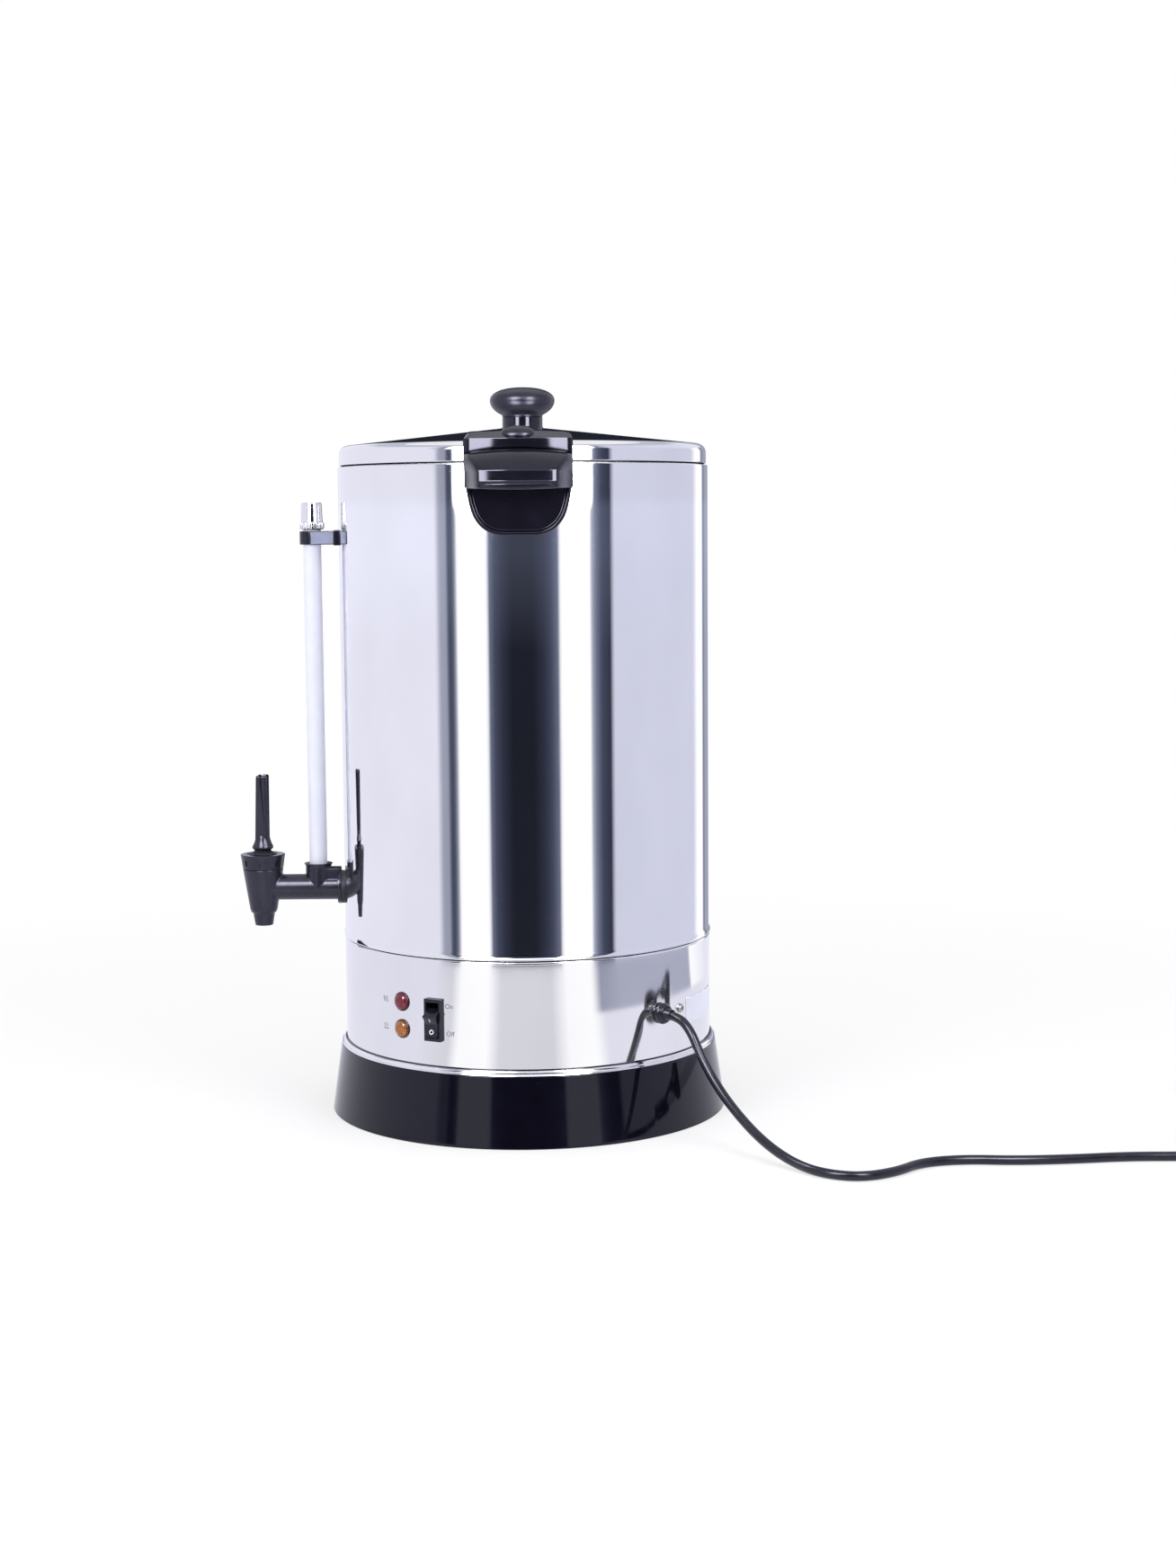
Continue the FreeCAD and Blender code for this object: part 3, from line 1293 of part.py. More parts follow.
def make_lever():
    """The tap's lever: a flared foot under a tall grooved grip."""
    foot = turned(
        "lever_foot_body",
        (
            ("0", "0"),
            ("lever_foot_radius - 1.6", "0"),
            ("lever_foot_radius", "1.6"),
            ("lever_foot_radius - 0.4", "3"),
            ("lever_low_depth * 0.5", "lever_foot_height"),
            ("0", "lever_foot_height"),
        ),
        y=TAP_Y, z="lever_foot",
    )
    grip = document.addObject("Part::Wedge", "lever_grip")
    grip_height = "lever_height - lever_foot_height + 1"
    bind(
        grip,
        Xmin="-lever_low_width / 2", Xmax="lever_low_width / 2",
        Zmin="-lever_low_depth / 2", Zmax="lever_low_depth / 2",
        X2min="-lever_high_width / 2", X2max="lever_high_width / 2",
        Z2min="lever_low_depth / 2 - lever_high_depth", Z2max="lever_low_depth / 2",
        Ymin="0", Ymax=grip_height,
    )
    place(
        grip, y=TAP_Y, z="lever_foot + lever_foot_height - 1", axis=Vector(1, 0, 0), turn="90",
    )
    grooves = []
    for index, sign in enumerate(("", "-")):
        groove = extruded(
            "lever_groove_%d" % index,
            "YZ",
            (
                ("lever_low_depth * 0.5 - 1.6", "lever_foot_height + 1"),
                ("0.9", "lever_height + 1"),
                ("-0.9", "lever_height + 1"),
                ("lever_low_depth * 0.5 - 2.4", "lever_foot_height + 1"),
            ),
            "5",
        )
        place(groove, x=sign + "(lever_high_width / 2)", y=TAP_Y, z="lever_foot")
        grooves.append(groove)
    notch = extruded(
        "lever_notch",
        "YZ",
        (("-2.2", "1"), ("0", "-3"), ("1.4", "1")),
        "lever_high_width * 2",
    )
    place(notch, y=TAP_Y, z="lever_top")
    slot = block(
        "lever_slot", "(stem_radius + stem_play) * 2", "lever_foot_radius + stem_tip + 1.7", "20",
        x="-stem_radius - stem_play", y=TAP_Y + " - lever_foot_radius",
        z="lever_pin_height + stem_tip + 1.7 - 20",
    )
    bore = cylinder(
        "lever_pin_hole", "lever_pin_radius + pin_play", "lever_foot_radius * 1.3 + 0.4",
        x="-lever_foot_radius * 0.65 - 0.2", y=TAP_Y, z="lever_pin_height", along="X",
    )
    lever = union("lever_whole", [foot, grip])
    finished(carve("lever_cut", lever, grooves + [notch, slot, bore]), "tap_lever")


def make_tap_fixings():
    """Gaskets, spacer and nut that hold the tap through both walls."""
    bore = "shank_radius + shank_gap"
    gasket = cylinder(
        "outer_gasket_disc", "flange_radius - 0.2", "gasket_width + 2",
        y="-body_radius - gasket_width", z="tap_height", along="Y",
    )
    gasket_bore = cylinder(
        "outer_gasket_bore", bore, "20", y="-body_radius - 8", z="tap_height", along="Y",
    )
    outside = cylinder("outer_gasket_seat", "body_radius + 0.02", "80", z="tap_height - 40")
    finished(carve("outer_gasket_cut", gasket, [gasket_bore, outside]), "outer_gasket")

    spacer = cylinder(
        "spacer_bar", "shank_radius + 3.5", "body_radius - shell_wall - tank_radius - 0.4",
        y="-body_radius + shell_wall + 0.2", z="tap_height", along="Y",
    )
    spacer_bore = cylinder(
        "spacer_bore", bore, "30", y="-body_radius - 5", z="tap_height", along="Y",
    )
    spacer_shell = turned(
        "spacer_room",
        (
            ("tank_radius + 0.05", "tap_height - 30"),
            ("body_radius - shell_wall - 0.05", "tap_height - 30"),
            ("body_radius - shell_wall - 0.05", "tap_height + 30"),
            ("tank_radius + 0.05", "tap_height + 30"),
        ),
    )
    spacer_cut = carve("spacer_cut", spacer, [spacer_bore])
    finished(overlap("spacer_fit", spacer_cut, spacer_shell), "tap_spacer")

    inner = cylinder(
        "inner_gasket_disc", "flange_radius", "5",
        y="-tank_radius + tank_wall - 2", z="tap_height", along="Y",
    )
    inner_bore = cylinder(
        "inner_gasket_bore", bore, "30", y="-tank_radius - 5", z="tap_height", along="Y",
    )
    inside = cylinder("inner_gasket_room", "tank_radius - tank_wall - 0.02", "80", z="tap_height - 40")
    inner_cut = carve("inner_gasket_cut", inner, [inner_bore])
    finished(overlap("inner_gasket_fit", inner_cut, inside), "inner_gasket")

    nut = document.addObject("Part::Prism", "tap_nut_hexagon")
    nut.Polygon = 6
    bind(nut, Circumradius="tap_nut_radius", Height="tap_nut_width")
    place(
        nut, y="-tank_radius + tank_wall + 3.05", z="tap_height", axis=Vector(1, 0, 0), turn="270",
    )
    nut_bore = cylinder(
        "tap_nut_bore", bore, "40", y="-tank_radius - 10", z="tap_height", along="Y",
    )
    finished(carve("tap_nut_cut", nut, [nut_bore]), "tap_nut")


# The sight gauge.


def make_gauge():
    """The gauge tube, its seal, bracket, screw, cap and knurled ring."""
    tube = cylinder("gauge_bar", "gauge_radius", "gauge_top - socket_floor - 2.2",
                    y=GAUGE_Y, z="socket_floor + 2.1")
    bore = cylinder("gauge_hole", "gauge_bore", "400", y=GAUGE_Y, z="socket_floor")
    finished(carve("gauge_cut", tube, [bore]), "gauge_tube")

    seal = cylinder("seal_disc", "gauge_radius", "1.9", y=GAUGE_Y, z="socket_floor + 0.1")
    seal_bore = cylinder("seal_hole", "gauge_bore - 1", "6", y=GAUGE_Y, z="socket_floor - 2")
    finished(carve("seal_cut", seal, [seal_bore]), "gauge_seal")

    half = "bracket_half_width"
    low = "(bracket_height - bracket_depth / 2)"
    nose = cylinder("bracket_nose", half, "bracket_depth", y=GAUGE_Y, z=low)
    arms = block(
        "bracket_arms", "bracket_half_width * 2", "gauge_reach", "bracket_depth",
        x="-bracket_half_width", y=GAUGE_Y, z=low,
    )
    foot = block(
        "bracket_foot", "bracket_half_width * 2 + 5", "5", "bracket_depth + 3",
        x="-bracket_half_width - 2.5", y="-body_radius - 2.6", z=low + " - 1.5",
    )
    whole = union("bracket_whole", [nose, arms, foot])
    hole = cylinder(
        "bracket_hole", "gauge_radius + gauge_play", "bracket_depth + 2", y=GAUGE_Y, z=low + " - 1",
    )
    seat = cylinder("bracket_seat", "body_radius + 0.1", "60", z=low + " - 20")
    screw_bore = cylinder(
        "bracket_bore", "bracket_screw_radius + screw_gap", "18",
        y="-body_radius - 9.4", z="bracket_height", along="Y",
    )
    finished(carve("bracket_cut", whole, [hole, seat, screw_bore]), "gauge_bracket")

    shank = cylinder(
        "bracket_screw_shank", "bracket_screw_radius", "9 + shell_wall + 0.3",
        y="-body_radius - 9", z="bracket_height", along="Y",
    )
    head = cylinder(
        "bracket_screw_head", "bracket_screw_radius * 1.9", "2.2",
        y="-body_radius + shell_wall + 0.1", z="bracket_height", along="Y",
    )
    finished(union("bracket_screw_body", [shank, head]), "bracket_screw")

    ring_top = "(cap_ring_foot + cap_ring_height)"
    ring = cylinder("cap_ring_disc", "cap_ring_radius - 0.5", "cap_ring_height",
                    y=GAUGE_Y, z="cap_ring_foot")
    ribs = []
    for index in range(int(number("cap_ribs"))):
        direction = "(360 * %d / cap_ribs)" % index
        ribs.append(
            cylinder(
                "cap_rib_%d" % index, "0.9", "cap_ring_height - 1.4",
                x="(cap_ring_radius - 0.9) * cos(%s * 1deg)" % direction,
                y="%s + (cap_ring_radius - 0.9) * sin(%s * 1deg)" % (GAUGE_Y, direction),
                z="cap_ring_foot + 0.7",
            )
        )
    ring_whole = union("cap_ring_whole", [ring] + ribs)
    ring_bore = cylinder(
        "cap_ring_bore", "gauge_radius + gauge_play", "cap_ring_height + 2",
        y=GAUGE_Y, z="cap_ring_foot - 1",
    )
    finished(carve("cap_ring_cut", ring_whole, [ring_bore]), "cap_ring")

    cap = cone(
        "cap_cone", "cap_foot_radius", "cap_top_radius", "cap_top - %s" % ring_top,
        y=GAUGE_Y, z=ring_top,
    )
    cap_bore = cylinder(
        "cap_bore", "gauge_radius + gauge_play", "gauge_top + 1 - %s" % ring_top,
        y=GAUGE_Y, z=ring_top + " - 0.5",
    )
    vent = cylinder("cap_vent", "0.8", "20", y=GAUGE_Y, z="gauge_top - 2")
    finished(carve("cap_cut", cap, [cap_bore, vent]), "gauge_cap")


# The switch, the lamps, the gland and the earth screw on the band.


def make_switch():
    """The rocker switch: housing, rocker with its trunnions, and terminals."""
    frame = block(
        "switch_frame_block", "switch_frame", "switch_half_width * 2", "switch_half_height * 2",
        x="0.05", y="-switch_half_width", z="-switch_half_height",
    )
    body = block(
        "switch_body_block", "switch_depth + 0.1", "(switch_half_width - 0.8) * 2",
        "(switch_half_height - 1.8) * 2",
        x="-switch_depth", y="0.8 - switch_half_width", z="1.8 - switch_half_height",
    )
    room = block(
        "switch_room", "switch_depth + 3", "(switch_half_width - 0.8 - switch_wall) * 2",
        "(switch_half_height - 2.9) * 2",
        x="1.2 - switch_depth", y="0.8 + switch_wall - switch_half_width",
        z="2.9 - switch_half_height",
    )
    pin_bore = cylinder(
        "switch_pin_bore", "rocker_pin_radius + pin_play", "(switch_half_width - 0.9) * 2",
        x="-rocker_pivot", y="0.9 - switch_half_width", along="Y",
    )
    housing = carve("switch_cut", union("switch_whole", [frame, body]), [room, pin_bore])
    finished(on_band(group("switch_housing", [housing]), "switch_angle", "panel_height"),
             "switch_housing")

    rise = "(rocker_crease + rocker_pivot)"
    ridge_x = "(%s + rocker_face * sin(rocker_dish * 1deg))" % rise
    ridge_z = "(rocker_face * cos(rocker_dish * 1deg))"
    rocker = extruded(
        "rocker_body",
        "XZ",
        (
            (rise, "0"),
            (ridge_x, ridge_z),
            ("rocker_pivot * 0.7", "rocker_face * 1.24"),
            ("-3", "rocker_face * 0.6"),
            ("-3", "-rocker_face * 0.6"),
            ("rocker_pivot * 0.7", "-rocker_face * 1.24"),
            (ridge_x, "-" + ridge_z),
        ),
        "rocker_half_width * 2",
    )
    trunnion = cylinder(
        "rocker_trunnion", "rocker_pin_radius", "(switch_half_width - 1) * 2",
        y="1 - switch_half_width", along="Y",
    )
    tilted = place(
        group("rocker_tilted", [union("rocker_whole", [rocker, trunnion])]),
        x="-rocker_pivot", axis=Vector(0, 1, 0), turn="rocker_tilt",
    )
    finished(on_band(group("switch_rocker", [tilted]), "switch_angle", "panel_height"),
             "switch_rocker")

    blades = [
        block(
            "switch_blade_%d" % index, "8", "0.8", "5",
            x="-switch_depth - 8", y="-0.4", z=height,
        )
        for index, height in enumerate(("3.5", "-8.5"))
    ]
    finished(on_band(group("switch_terminals", blades), "switch_angle", "panel_height"),
             "switch_terminals")


def make_lamp(label, height):
    """A signal lamp's coloured lens, with a rim and a low dome."""
    lens = turned(
        label + "_lens",
        (
            ("0", "0.05"),
            ("lens_radius", "0.05"),
            ("lens_radius", "lens_rim"),
            ("lens_radius - 1", "lens_rim + 0.4", "lens_radius * 1.15", "left"),
            ("0.6", "lens_rim + lens_dome"),
            ("0", "lens_rim + lens_dome"),
        ),
    )
    lying = place(group(label + "_lying", [lens]), axis=Vector(0, 1, 0), turn="90")
    finished(on_band(group(label, [lying]), "lamp_angle", height), label)


def make_lamp_holders():
    """The lamps' bodies behind the band, each with a ring that holds it."""
    holders = []
    for name, height in (("heating", "lamp_high"), ("warm", "lamp_low")):
        body = cylinder(
            name + "_holder_body", "lamp_body_radius", "lamp_body_length",
            x="-lamp_body_length", along="X",
        )
        ring = cylinder(
            name + "_holder_ring", "lamp_body_radius + 2", "3",
            x="-band_wall - 3.5", along="X",
        )
        holder = union(name + "_holder_whole", [body, ring])
        holders.append(on_band(group(name + "_holder", [holder]), "lamp_angle", height))
    finished(group("lamp_holder_group", holders), "lamp_holders")


def make_gland():
    """The cord gland: collar and nose outside, a neck in the band's hole, a barb inside."""
    gland = turned(
        "gland_body",
        (
            ("cord_radius + 0.1", "-gland_inner"),
            ("gland_neck_radius", "-gland_inner"),
            ("gland_neck_radius", "0.1"),
            ("gland_radius - 1.4", "0.1"),
            ("gland_radius", "1.6"),
            ("gland_radius", "gland_collar - 1.8"),
            ("gland_radius - 2", "gland_collar"),
            ("gland_nose_radius", "gland_collar"),
            ("gland_nose_radius - 1", "gland_collar + gland_nose"),
            ("cord_radius + 0.1", "gland_collar + gland_nose"),
        ),
    )
    lying = place(group("gland_lying", [gland]), axis=Vector(0, 1, 0), turn="90")
    finished(on_band(group("cord_gland", [lying]), "gland_angle", "gland_height"), "cord_gland")


def make_earth_screw():
    """The earth screw through the band and its nut inside."""
    shank = cylinder("earth_shank", "earth_screw_radius", "12", x="-11", along="X")
    head = cylinder("earth_head", "earth_head_radius", "1.2", x="0.05", along="X")
    crown = cone(
        "earth_crown", "earth_head_radius", "earth_head_radius * 0.6", "1.1",
        x="1.25", along="X",
    )
    cross = [
        block("earth_cross_%d" % index, "2", wide, high, x="1.5", y="-%s / 2" % wide,
              z="-%s / 2" % high)
        for index, (wide, high) in enumerate((("1", "3.8"), ("3.8", "1")))
    ]
    screw = carve("earth_cut", union("earth_whole", [shank, head, crown]), cross)
    nut = document.addObject("Part::Prism", "earth_nut_hexagon")
    nut.Polygon = 6
    bind(nut, Circumradius="earth_screw_radius * 2", Height="3.2")
    place(nut, x="-band_wall - 3.6", axis=Vector(0, 1, 0), turn="90")
    bore = cylinder(
        "earth_nut_bore", "earth_screw_radius + screw_gap", "20", x="-14", along="X",
    )
    earth = group("earth_screw_set", [screw, carve("earth_nut_cut", nut, [bore])])
    finished(on_band(earth, "earth_angle", "earth_height"), "earth_screw")


# The heater and the electrical parts under the tank.

PLATE_FOOT = "(tank_floor - heater_gap - heater_plate)"
ELEMENT_Z = "(tank_floor - heater_gap - heater_plate - element_radius - 0.05)"
CLAMP_TOP = "(tank_floor - heater_gap - heater_plate - 2 * element_radius - 0.1)"


def make_heater():
    """Heater plate, ring element, clamp bar, stud nut and three thermostats."""
    plate = cylinder("heater_disc", "heater_radius", "heater_plate", z=PLATE_FOOT)
    hole = cylinder("heater_hole", "stud_radius + screw_gap", "12", z=PLATE_FOOT + " - 4")
    finished(carve("heater_cut", plate, [hole]), "heater_plate")

    ring = document.addObject("Part::Torus", "element_torus")
    bind(ring, Radius1="element_ring", Radius2="element_radius")
    place(ring, z=ELEMENT_Z)
    gap = block(
        "element_gap", "element_ring * 2", "20", "20", x="0", y="-10", z=ELEMENT_Z + " - 10",
    )
    open_ring = carve("element_open", ring, [gap])
    ends = [
        cylinder(
            "element_end_%d" % index, "element_radius * 0.8", "element_drop",
            x="element_ring", y=across, z=ELEMENT_Z + " - element_drop",
        )
        for index, across in enumerate(("12", "-12"))
    ]
    finished(union("element_whole", [open_ring] + ends), "heating_element")

    bar = block(
        "clamp_bar", "clamp_width", "(element_ring + element_radius + 4) * 2", "clamp_wall",
        x="-clamp_width / 2", y="-(element_ring + element_radius + 4)",
        z=CLAMP_TOP + " - clamp_wall",
    )
    bar_hole = cylinder("clamp_hole", "stud_radius + screw_gap", "12", z=CLAMP_TOP + " - 8")
    clamp = carve("clamp_cut", bar, [bar_hole])

    nut = document.addObject("Part::Prism", "clamp_nut_hexagon")
    nut.Polygon = 6
    bind(nut, Circumradius="stud_radius * 1.9", Height="4.8")
    place(nut, z=CLAMP_TOP + " - clamp_wall - 4.9")
    nut_bore = cylinder("clamp_nut_bore", "stud_radius + screw_gap", "20", z=CLAMP_TOP + " - 14")
    finished(group("clamp_group", [clamp, carve("clamp_nut_cut", nut, [nut_bore])]), "heater_clamp")

    thermostats = []
    for label, angle in (("boil", 20.0), ("warm", 140.0), ("cutout", 200.0)):
        body = cylinder(
            label + "_body", "thermostat_radius", "thermostat_height",
            z=PLATE_FOOT + " - thermostat_height - 0.1",
        )
        ear = block(
            label + "_ear", "thermostat_radius * 2 + 8", "7", "0.8",
            x="-thermostat_radius - 4", y="-3.5", z=PLATE_FOOT + " - 0.9",
        )
        blades = [
            block(label + "_blade_%d" % index, "5", "0.8", "8",
                  x="-2.5", y=across, z=PLATE_FOOT + " - thermostat_height - 8")
            for index, across in enumerate(("3.4", "-4.2"))
        ]
        whole = union(label + "_whole", [body, ear] + blades)
        thermostats.append(
            place(
                group(label + "_thermostat", [whole]),
                "thermostat_place * cos(%s * 1deg)" % angle,
                "thermostat_place * sin(%s * 1deg)" % angle,
                turn=str(angle),
            )
        )
    finished(group("thermostat_group", thermostats), "thermostats")


def make_bottom():
    """Bottom cover with vents, its screws and four rubber feet."""
    cover, sketch = sketched(
        "cover_body",
        "XZ",
        (
            ("0", "0"),
            (COVER_RADIUS, "0"),
            (COVER_RADIUS, "cover_wall"),
            ("0", "cover_wall"),
        ),
    )
    spin = cover.newObject("PartDesign::Revolution", "cover_spin")
    spin.Profile = sketch
    spin.ReferenceAxis = (sketch, ["V_Axis"])
    spin.Angle = 360
    slot_sketch = cover.newObject("Sketcher::SketchObject", "cover_slot_outline")
    support = [item for item in cover.Origin.OriginFeatures if item.Role == "XY_Plane"][0]
    slot_sketch.AttachmentSupport = [(support, "")]
    slot_sketch.MapMode = "FlatFace"
    draw(
        slot_sketch,
        (
            ("foot_place - 70", "-2.5"),
            ("foot_place - 25", "-2.5", "2.6", "left"),
            ("foot_place - 25", "2.5"),
            ("foot_place - 70", "2.5", "2.6", "left"),
        ),
    )
    document.recompute()
    slot = cover.newObject("PartDesign::Pocket", "cover_slot")
    slot.Profile = slot_sketch
    slot.Reversed = True
    bind(slot, Length="cover_wall * 2")
    axis = [item for item in cover.Origin.OriginFeatures if item.Role == "Z_Axis"][0]
    pattern = cover.newObject("PartDesign::PolarPattern", "cover_vents_pattern")
    pattern.Originals = [slot]
    pattern.Axis = (axis, [""])
    pattern.Angle = 360
    bind(pattern, Occurrences="cover_vents")
    cover.Tip = pattern
    place(cover, z="cover_height")
    bores = []
    screws = []
    for index, angle in enumerate(BOSS_ANGLES):
        x = "boss_place * cos(%s * 1deg)" % angle
        y = "boss_place * sin(%s * 1deg)" % angle
        bores.append(
            cylinder("cover_bore_%d" % index, "cover_screw_radius + screw_gap", "8", x, y,
                     "cover_height - 4")
        )
        shank = cylinder("cover_shank_%d" % index, "cover_screw_radius", "13 + cover_wall", x, y,
                         "cover_height - 0.05")
        head = cylinder("cover_head_%d" % index, "cover_screw_radius * 2", "2", x, y,
                        "cover_height - 2.05")
        screws.append(union("cover_screw_%d" % index, [shank, head]))
    finished(carve("cover_cut", cover, bores), "bottom_cover")
    base_screws.extend(screws)

    feet = []
    for index, angle in enumerate(FOOT_ANGLES):
        feet.append(
            cone(
                "foot_%d" % index, "foot_radius", "foot_radius * 0.9", "cover_height",
                "foot_place * cos(%s * 1deg)" % angle, "foot_place * sin(%s * 1deg)" % angle,
            )
        )
    finished(group("foot_group", feet), "rubber_feet")


COVER_RADIUS = (
    "(base_foot_radius - base_wall - cover_margin"
    " - (base_foot_radius - base_neck_radius) * (cover_height + cover_wall) / base_height)"
)


def make_tabs():
    """Bent tabs that join band and base, each with a screw through the ledge."""
    tabs = []
    screws = []
    inner = "(band_in - 0.1)"
    for index, angle in enumerate(TAB_ANGLES):
        profile = extruded(
            "tab_profile_%d" % index,
            "XZ",
            (
                (inner + " - tab_leg", "base_height"),
                (inner + " + 2", "base_height"),
                (inner + " + 2", "base_height + tab_leg"),
                (inner + " - tab_wall - 0.4", "base_height + tab_leg"),
                (inner + " - tab_wall - 0.4", "base_height + tab_wall"),
                (inner + " - tab_leg", "base_height + tab_wall"),
            ),
            "tab_width",
        )
        room = cylinder("tab_room_%d" % index, inner, "60", z="base_height - 10")
        bore = cylinder(
            "tab_bore_%d" % index, "tab_screw_radius + screw_gap", "20",
            x=TAB_SCREW_PLACE, z="base_height - 10",
        )
        fitted = overlap("tab_fitted_%d" % index, profile, room)
        tab = carve("tab_cut_%d" % index, fitted, [bore])
        tabs.append(round_about(group("tab_%d" % index, [tab]), angle))
        shank = cylinder(
            "tab_shank_%d" % index, "tab_screw_radius", "base_wall + tab_wall + 3",
            x=TAB_SCREW_PLACE, z=LEDGE_FOOT,
        )
        head = cylinder(
            "tab_head_%d" % index, "tab_screw_radius * 1.7", "2",
            x=TAB_SCREW_PLACE, z=LEDGE_FOOT + " - 2.05",
        )
        screw = union("tab_screw_%d" % index, [shank, head])
        screws.append(round_about(group("tab_screw_placed_%d" % index, [screw]), angle))
    finished(group("tab_group", tabs), "band_tabs")
    base_screws.extend(screws)


def make_wiring():
    """The terminal block, the inner lead and the wires."""
    base = block(
        "terminal_base", "block_length", "block_width", "block_height",
        x="60 - block_length / 2", y="60.6 - block_width / 2", z=COVER_TOP + " + 0.1",
    )
    finished(place(group("terminal_block", [base])), "terminal_block")
    lead, radii, length = tube_along(INNER_ROUTE, number("cord_radius"))
    wires = [tube_along(route, number("wire_radius"))[0] for route in WIRE_ROUTES]
    shaped("inner_wires", Part.makeCompound([lead] + wires))


# The power cord with its coil, tie and plug.


def make_cord():
    """The cord from the gland to the coil, and from the coil to the plug."""
    radius = number("cord_radius")
    for label, route in (("power_cord", CORD_ROUTE), ("cord_tail", TAIL_ROUTE)):
        solid, radii, length = tube_along(route, radius)
        print(label, "length %.1f" % length, "bends", " ".join("%.0f" % r for r in radii))
        shaped(label, solid)

    half = "(cord_radius * 2)"
    coil = turned(
        "coil_body",
        (
            ("coil_radius - %s" % half, "0"),
            ("coil_radius + %s" % half, "0"),
            ("coil_radius + %s" % half, "%s * 2" % half),
            ("coil_radius - %s" % half, "%s * 2" % half),
        ),
        x="coil_x", y="coil_y", z="tie_wall + 0.1",
    )
    rounded(coil, "cord_radius * 0.9", lambda edge: edge.Curve.TypeId == "Part::GeomCircle")
    finished(coil, "cord_coil")

    around = "(cord_radius * 4 + tie_room + tie_wall * 2)"
    outer = block(
        "tie_outer", around, "tie_width", "cord_radius * 4 + 0.1 + tie_wall * 2 + 0.1",
        x="-%s / 2" % around, y="-tie_width / 2",
    )
    inner = block(
        "tie_inner", "cord_radius * 4 + tie_room", "tie_width + 2", "cord_radius * 4 + 0.2",
        x="-cord_radius * 2 - tie_room / 2", y="-tie_width / 2 - 1", z="tie_wall",
    )
    tie = carve("tie_cut", outer, [inner])
    finished(place(group("cord_tie", [tie]), x="coil_x - coil_radius", y="coil_y"), "cord_tie")


def make_plug():
    """A round two-pin plug that lies beside the coil, its pins towards -X."""
    front = "(plug_relief + plug_taper + plug_length)"
    plug = turned(
        "plug_outside",
        (
            ("cord_radius + 0.05", "0"),
            ("cord_radius + 1", "0"),
            ("cord_radius + 2.4", "plug_relief"),
            ("plug_radius * 0.62", "plug_relief + 3"),
            ("plug_radius * 0.7", "plug_relief + plug_taper"),
            ("plug_radius * 0.97", "plug_relief + plug_taper + 3"),
            ("plug_radius", "%s - 2" % front),
            ("plug_radius - 1.4", front),
            ("0", front),
            ("0", "6"),
            ("cord_radius + 0.05", "6"),
        ),
    )
    bores = [
        cylinder("plug_bore_%d" % index, "pin_radius + 0.02", "8", y=across,
                 z=front + " - 6")
        for index, across in enumerate(("pin_spacing / 2", "-pin_spacing / 2"))
    ]
    lying = place(
        group("plug_lying", [carve("plug_cut", plug, bores)]),
        x="plug_back", y="plug_y", z="plug_radius", axis=Vector(0, 1, 0), turn="270",
    )
    finished(lying, "plug_body")
    pins = [
        cylinder("plug_pin_%d" % index, "pin_radius", "pin_length + 6", y=across,
                 z=front + " - 6")
        for index, across in enumerate(("pin_spacing / 2", "-pin_spacing / 2"))
    ]
    finished(
        place(
            group("plug_pin_pair", pins),
            x="plug_back", y="plug_y", z="plug_radius", axis=Vector(0, 1, 0), turn="270",
        ),
        "plug_pins",
    )


def make_all():
    make_base()
    make_trim()
    make_band()
    make_shell()
    make_label()
    make_tank()
    make_lid()
    for side, angle in HANDLE_SIDES:
        make_catch(side, angle)
        make_handle(side, angle)
    make_catch_screws()
    make_handle_fixings()
    make_tap_body()
    make_bonnet()
    make_stem()
    make_spring()
    make_lever()
    make_tap_fixings()
    make_gauge()
    make_switch()
    make_lamp("heating_lamp", "lamp_high")
    make_lamp("warm_lamp", "lamp_low")
    make_lamp_holders()
    make_gland()
    make_earth_screw()
    make_heater()
    make_bottom()
    make_tabs()
    finished(group("base_screw_group", base_screws), "base_screws")
    make_wiring()
    make_cord()
    make_plug()


def check_and_write():
    """Look at every object's state and every piece's shape, then write the pieces."""
    document.recompute()
    for item in document.Objects:
        if "Invalid" in item.State or "Error" in item.State:
            raise ValueError("%s (%s) did not build: %s" % (item.Name, item.Label, item.State))
    for item in pieces:
        if item.Shape.isNull() or not item.Shape.isValid() or not item.Shape.Solids:
            raise ValueError("%s has no valid shape" % item.Label)
    os.makedirs("parts", exist_ok=True)
    for item in pieces:
        item.Shape.exportStep("parts/%s.step" % item.Label)
    print(len(pieces), "pieces")


make_all()
check_and_write()
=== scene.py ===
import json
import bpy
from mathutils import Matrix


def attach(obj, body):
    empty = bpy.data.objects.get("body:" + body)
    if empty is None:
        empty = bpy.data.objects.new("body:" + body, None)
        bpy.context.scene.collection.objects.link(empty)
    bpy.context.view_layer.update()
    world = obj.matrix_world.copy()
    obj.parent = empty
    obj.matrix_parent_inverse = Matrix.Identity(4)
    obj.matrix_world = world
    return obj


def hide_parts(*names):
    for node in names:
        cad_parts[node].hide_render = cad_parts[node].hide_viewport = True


bl_info = {
    "name": "Hot water urn",
    "version": (1, 0, 0),
    "blender": (4, 5, 0),
    "location": "3D View > Sidebar > Urn",
    "description": "Models the visible pieces of a hot water urn on its packed frame",
    "category": "Object",
}

from math import atan2, cos, degrees, pi, radians, sin, sqrt

import bmesh
import bpy
from bpy.props import FloatProperty, FloatVectorProperty, PointerProperty
from mathutils import Matrix, Vector

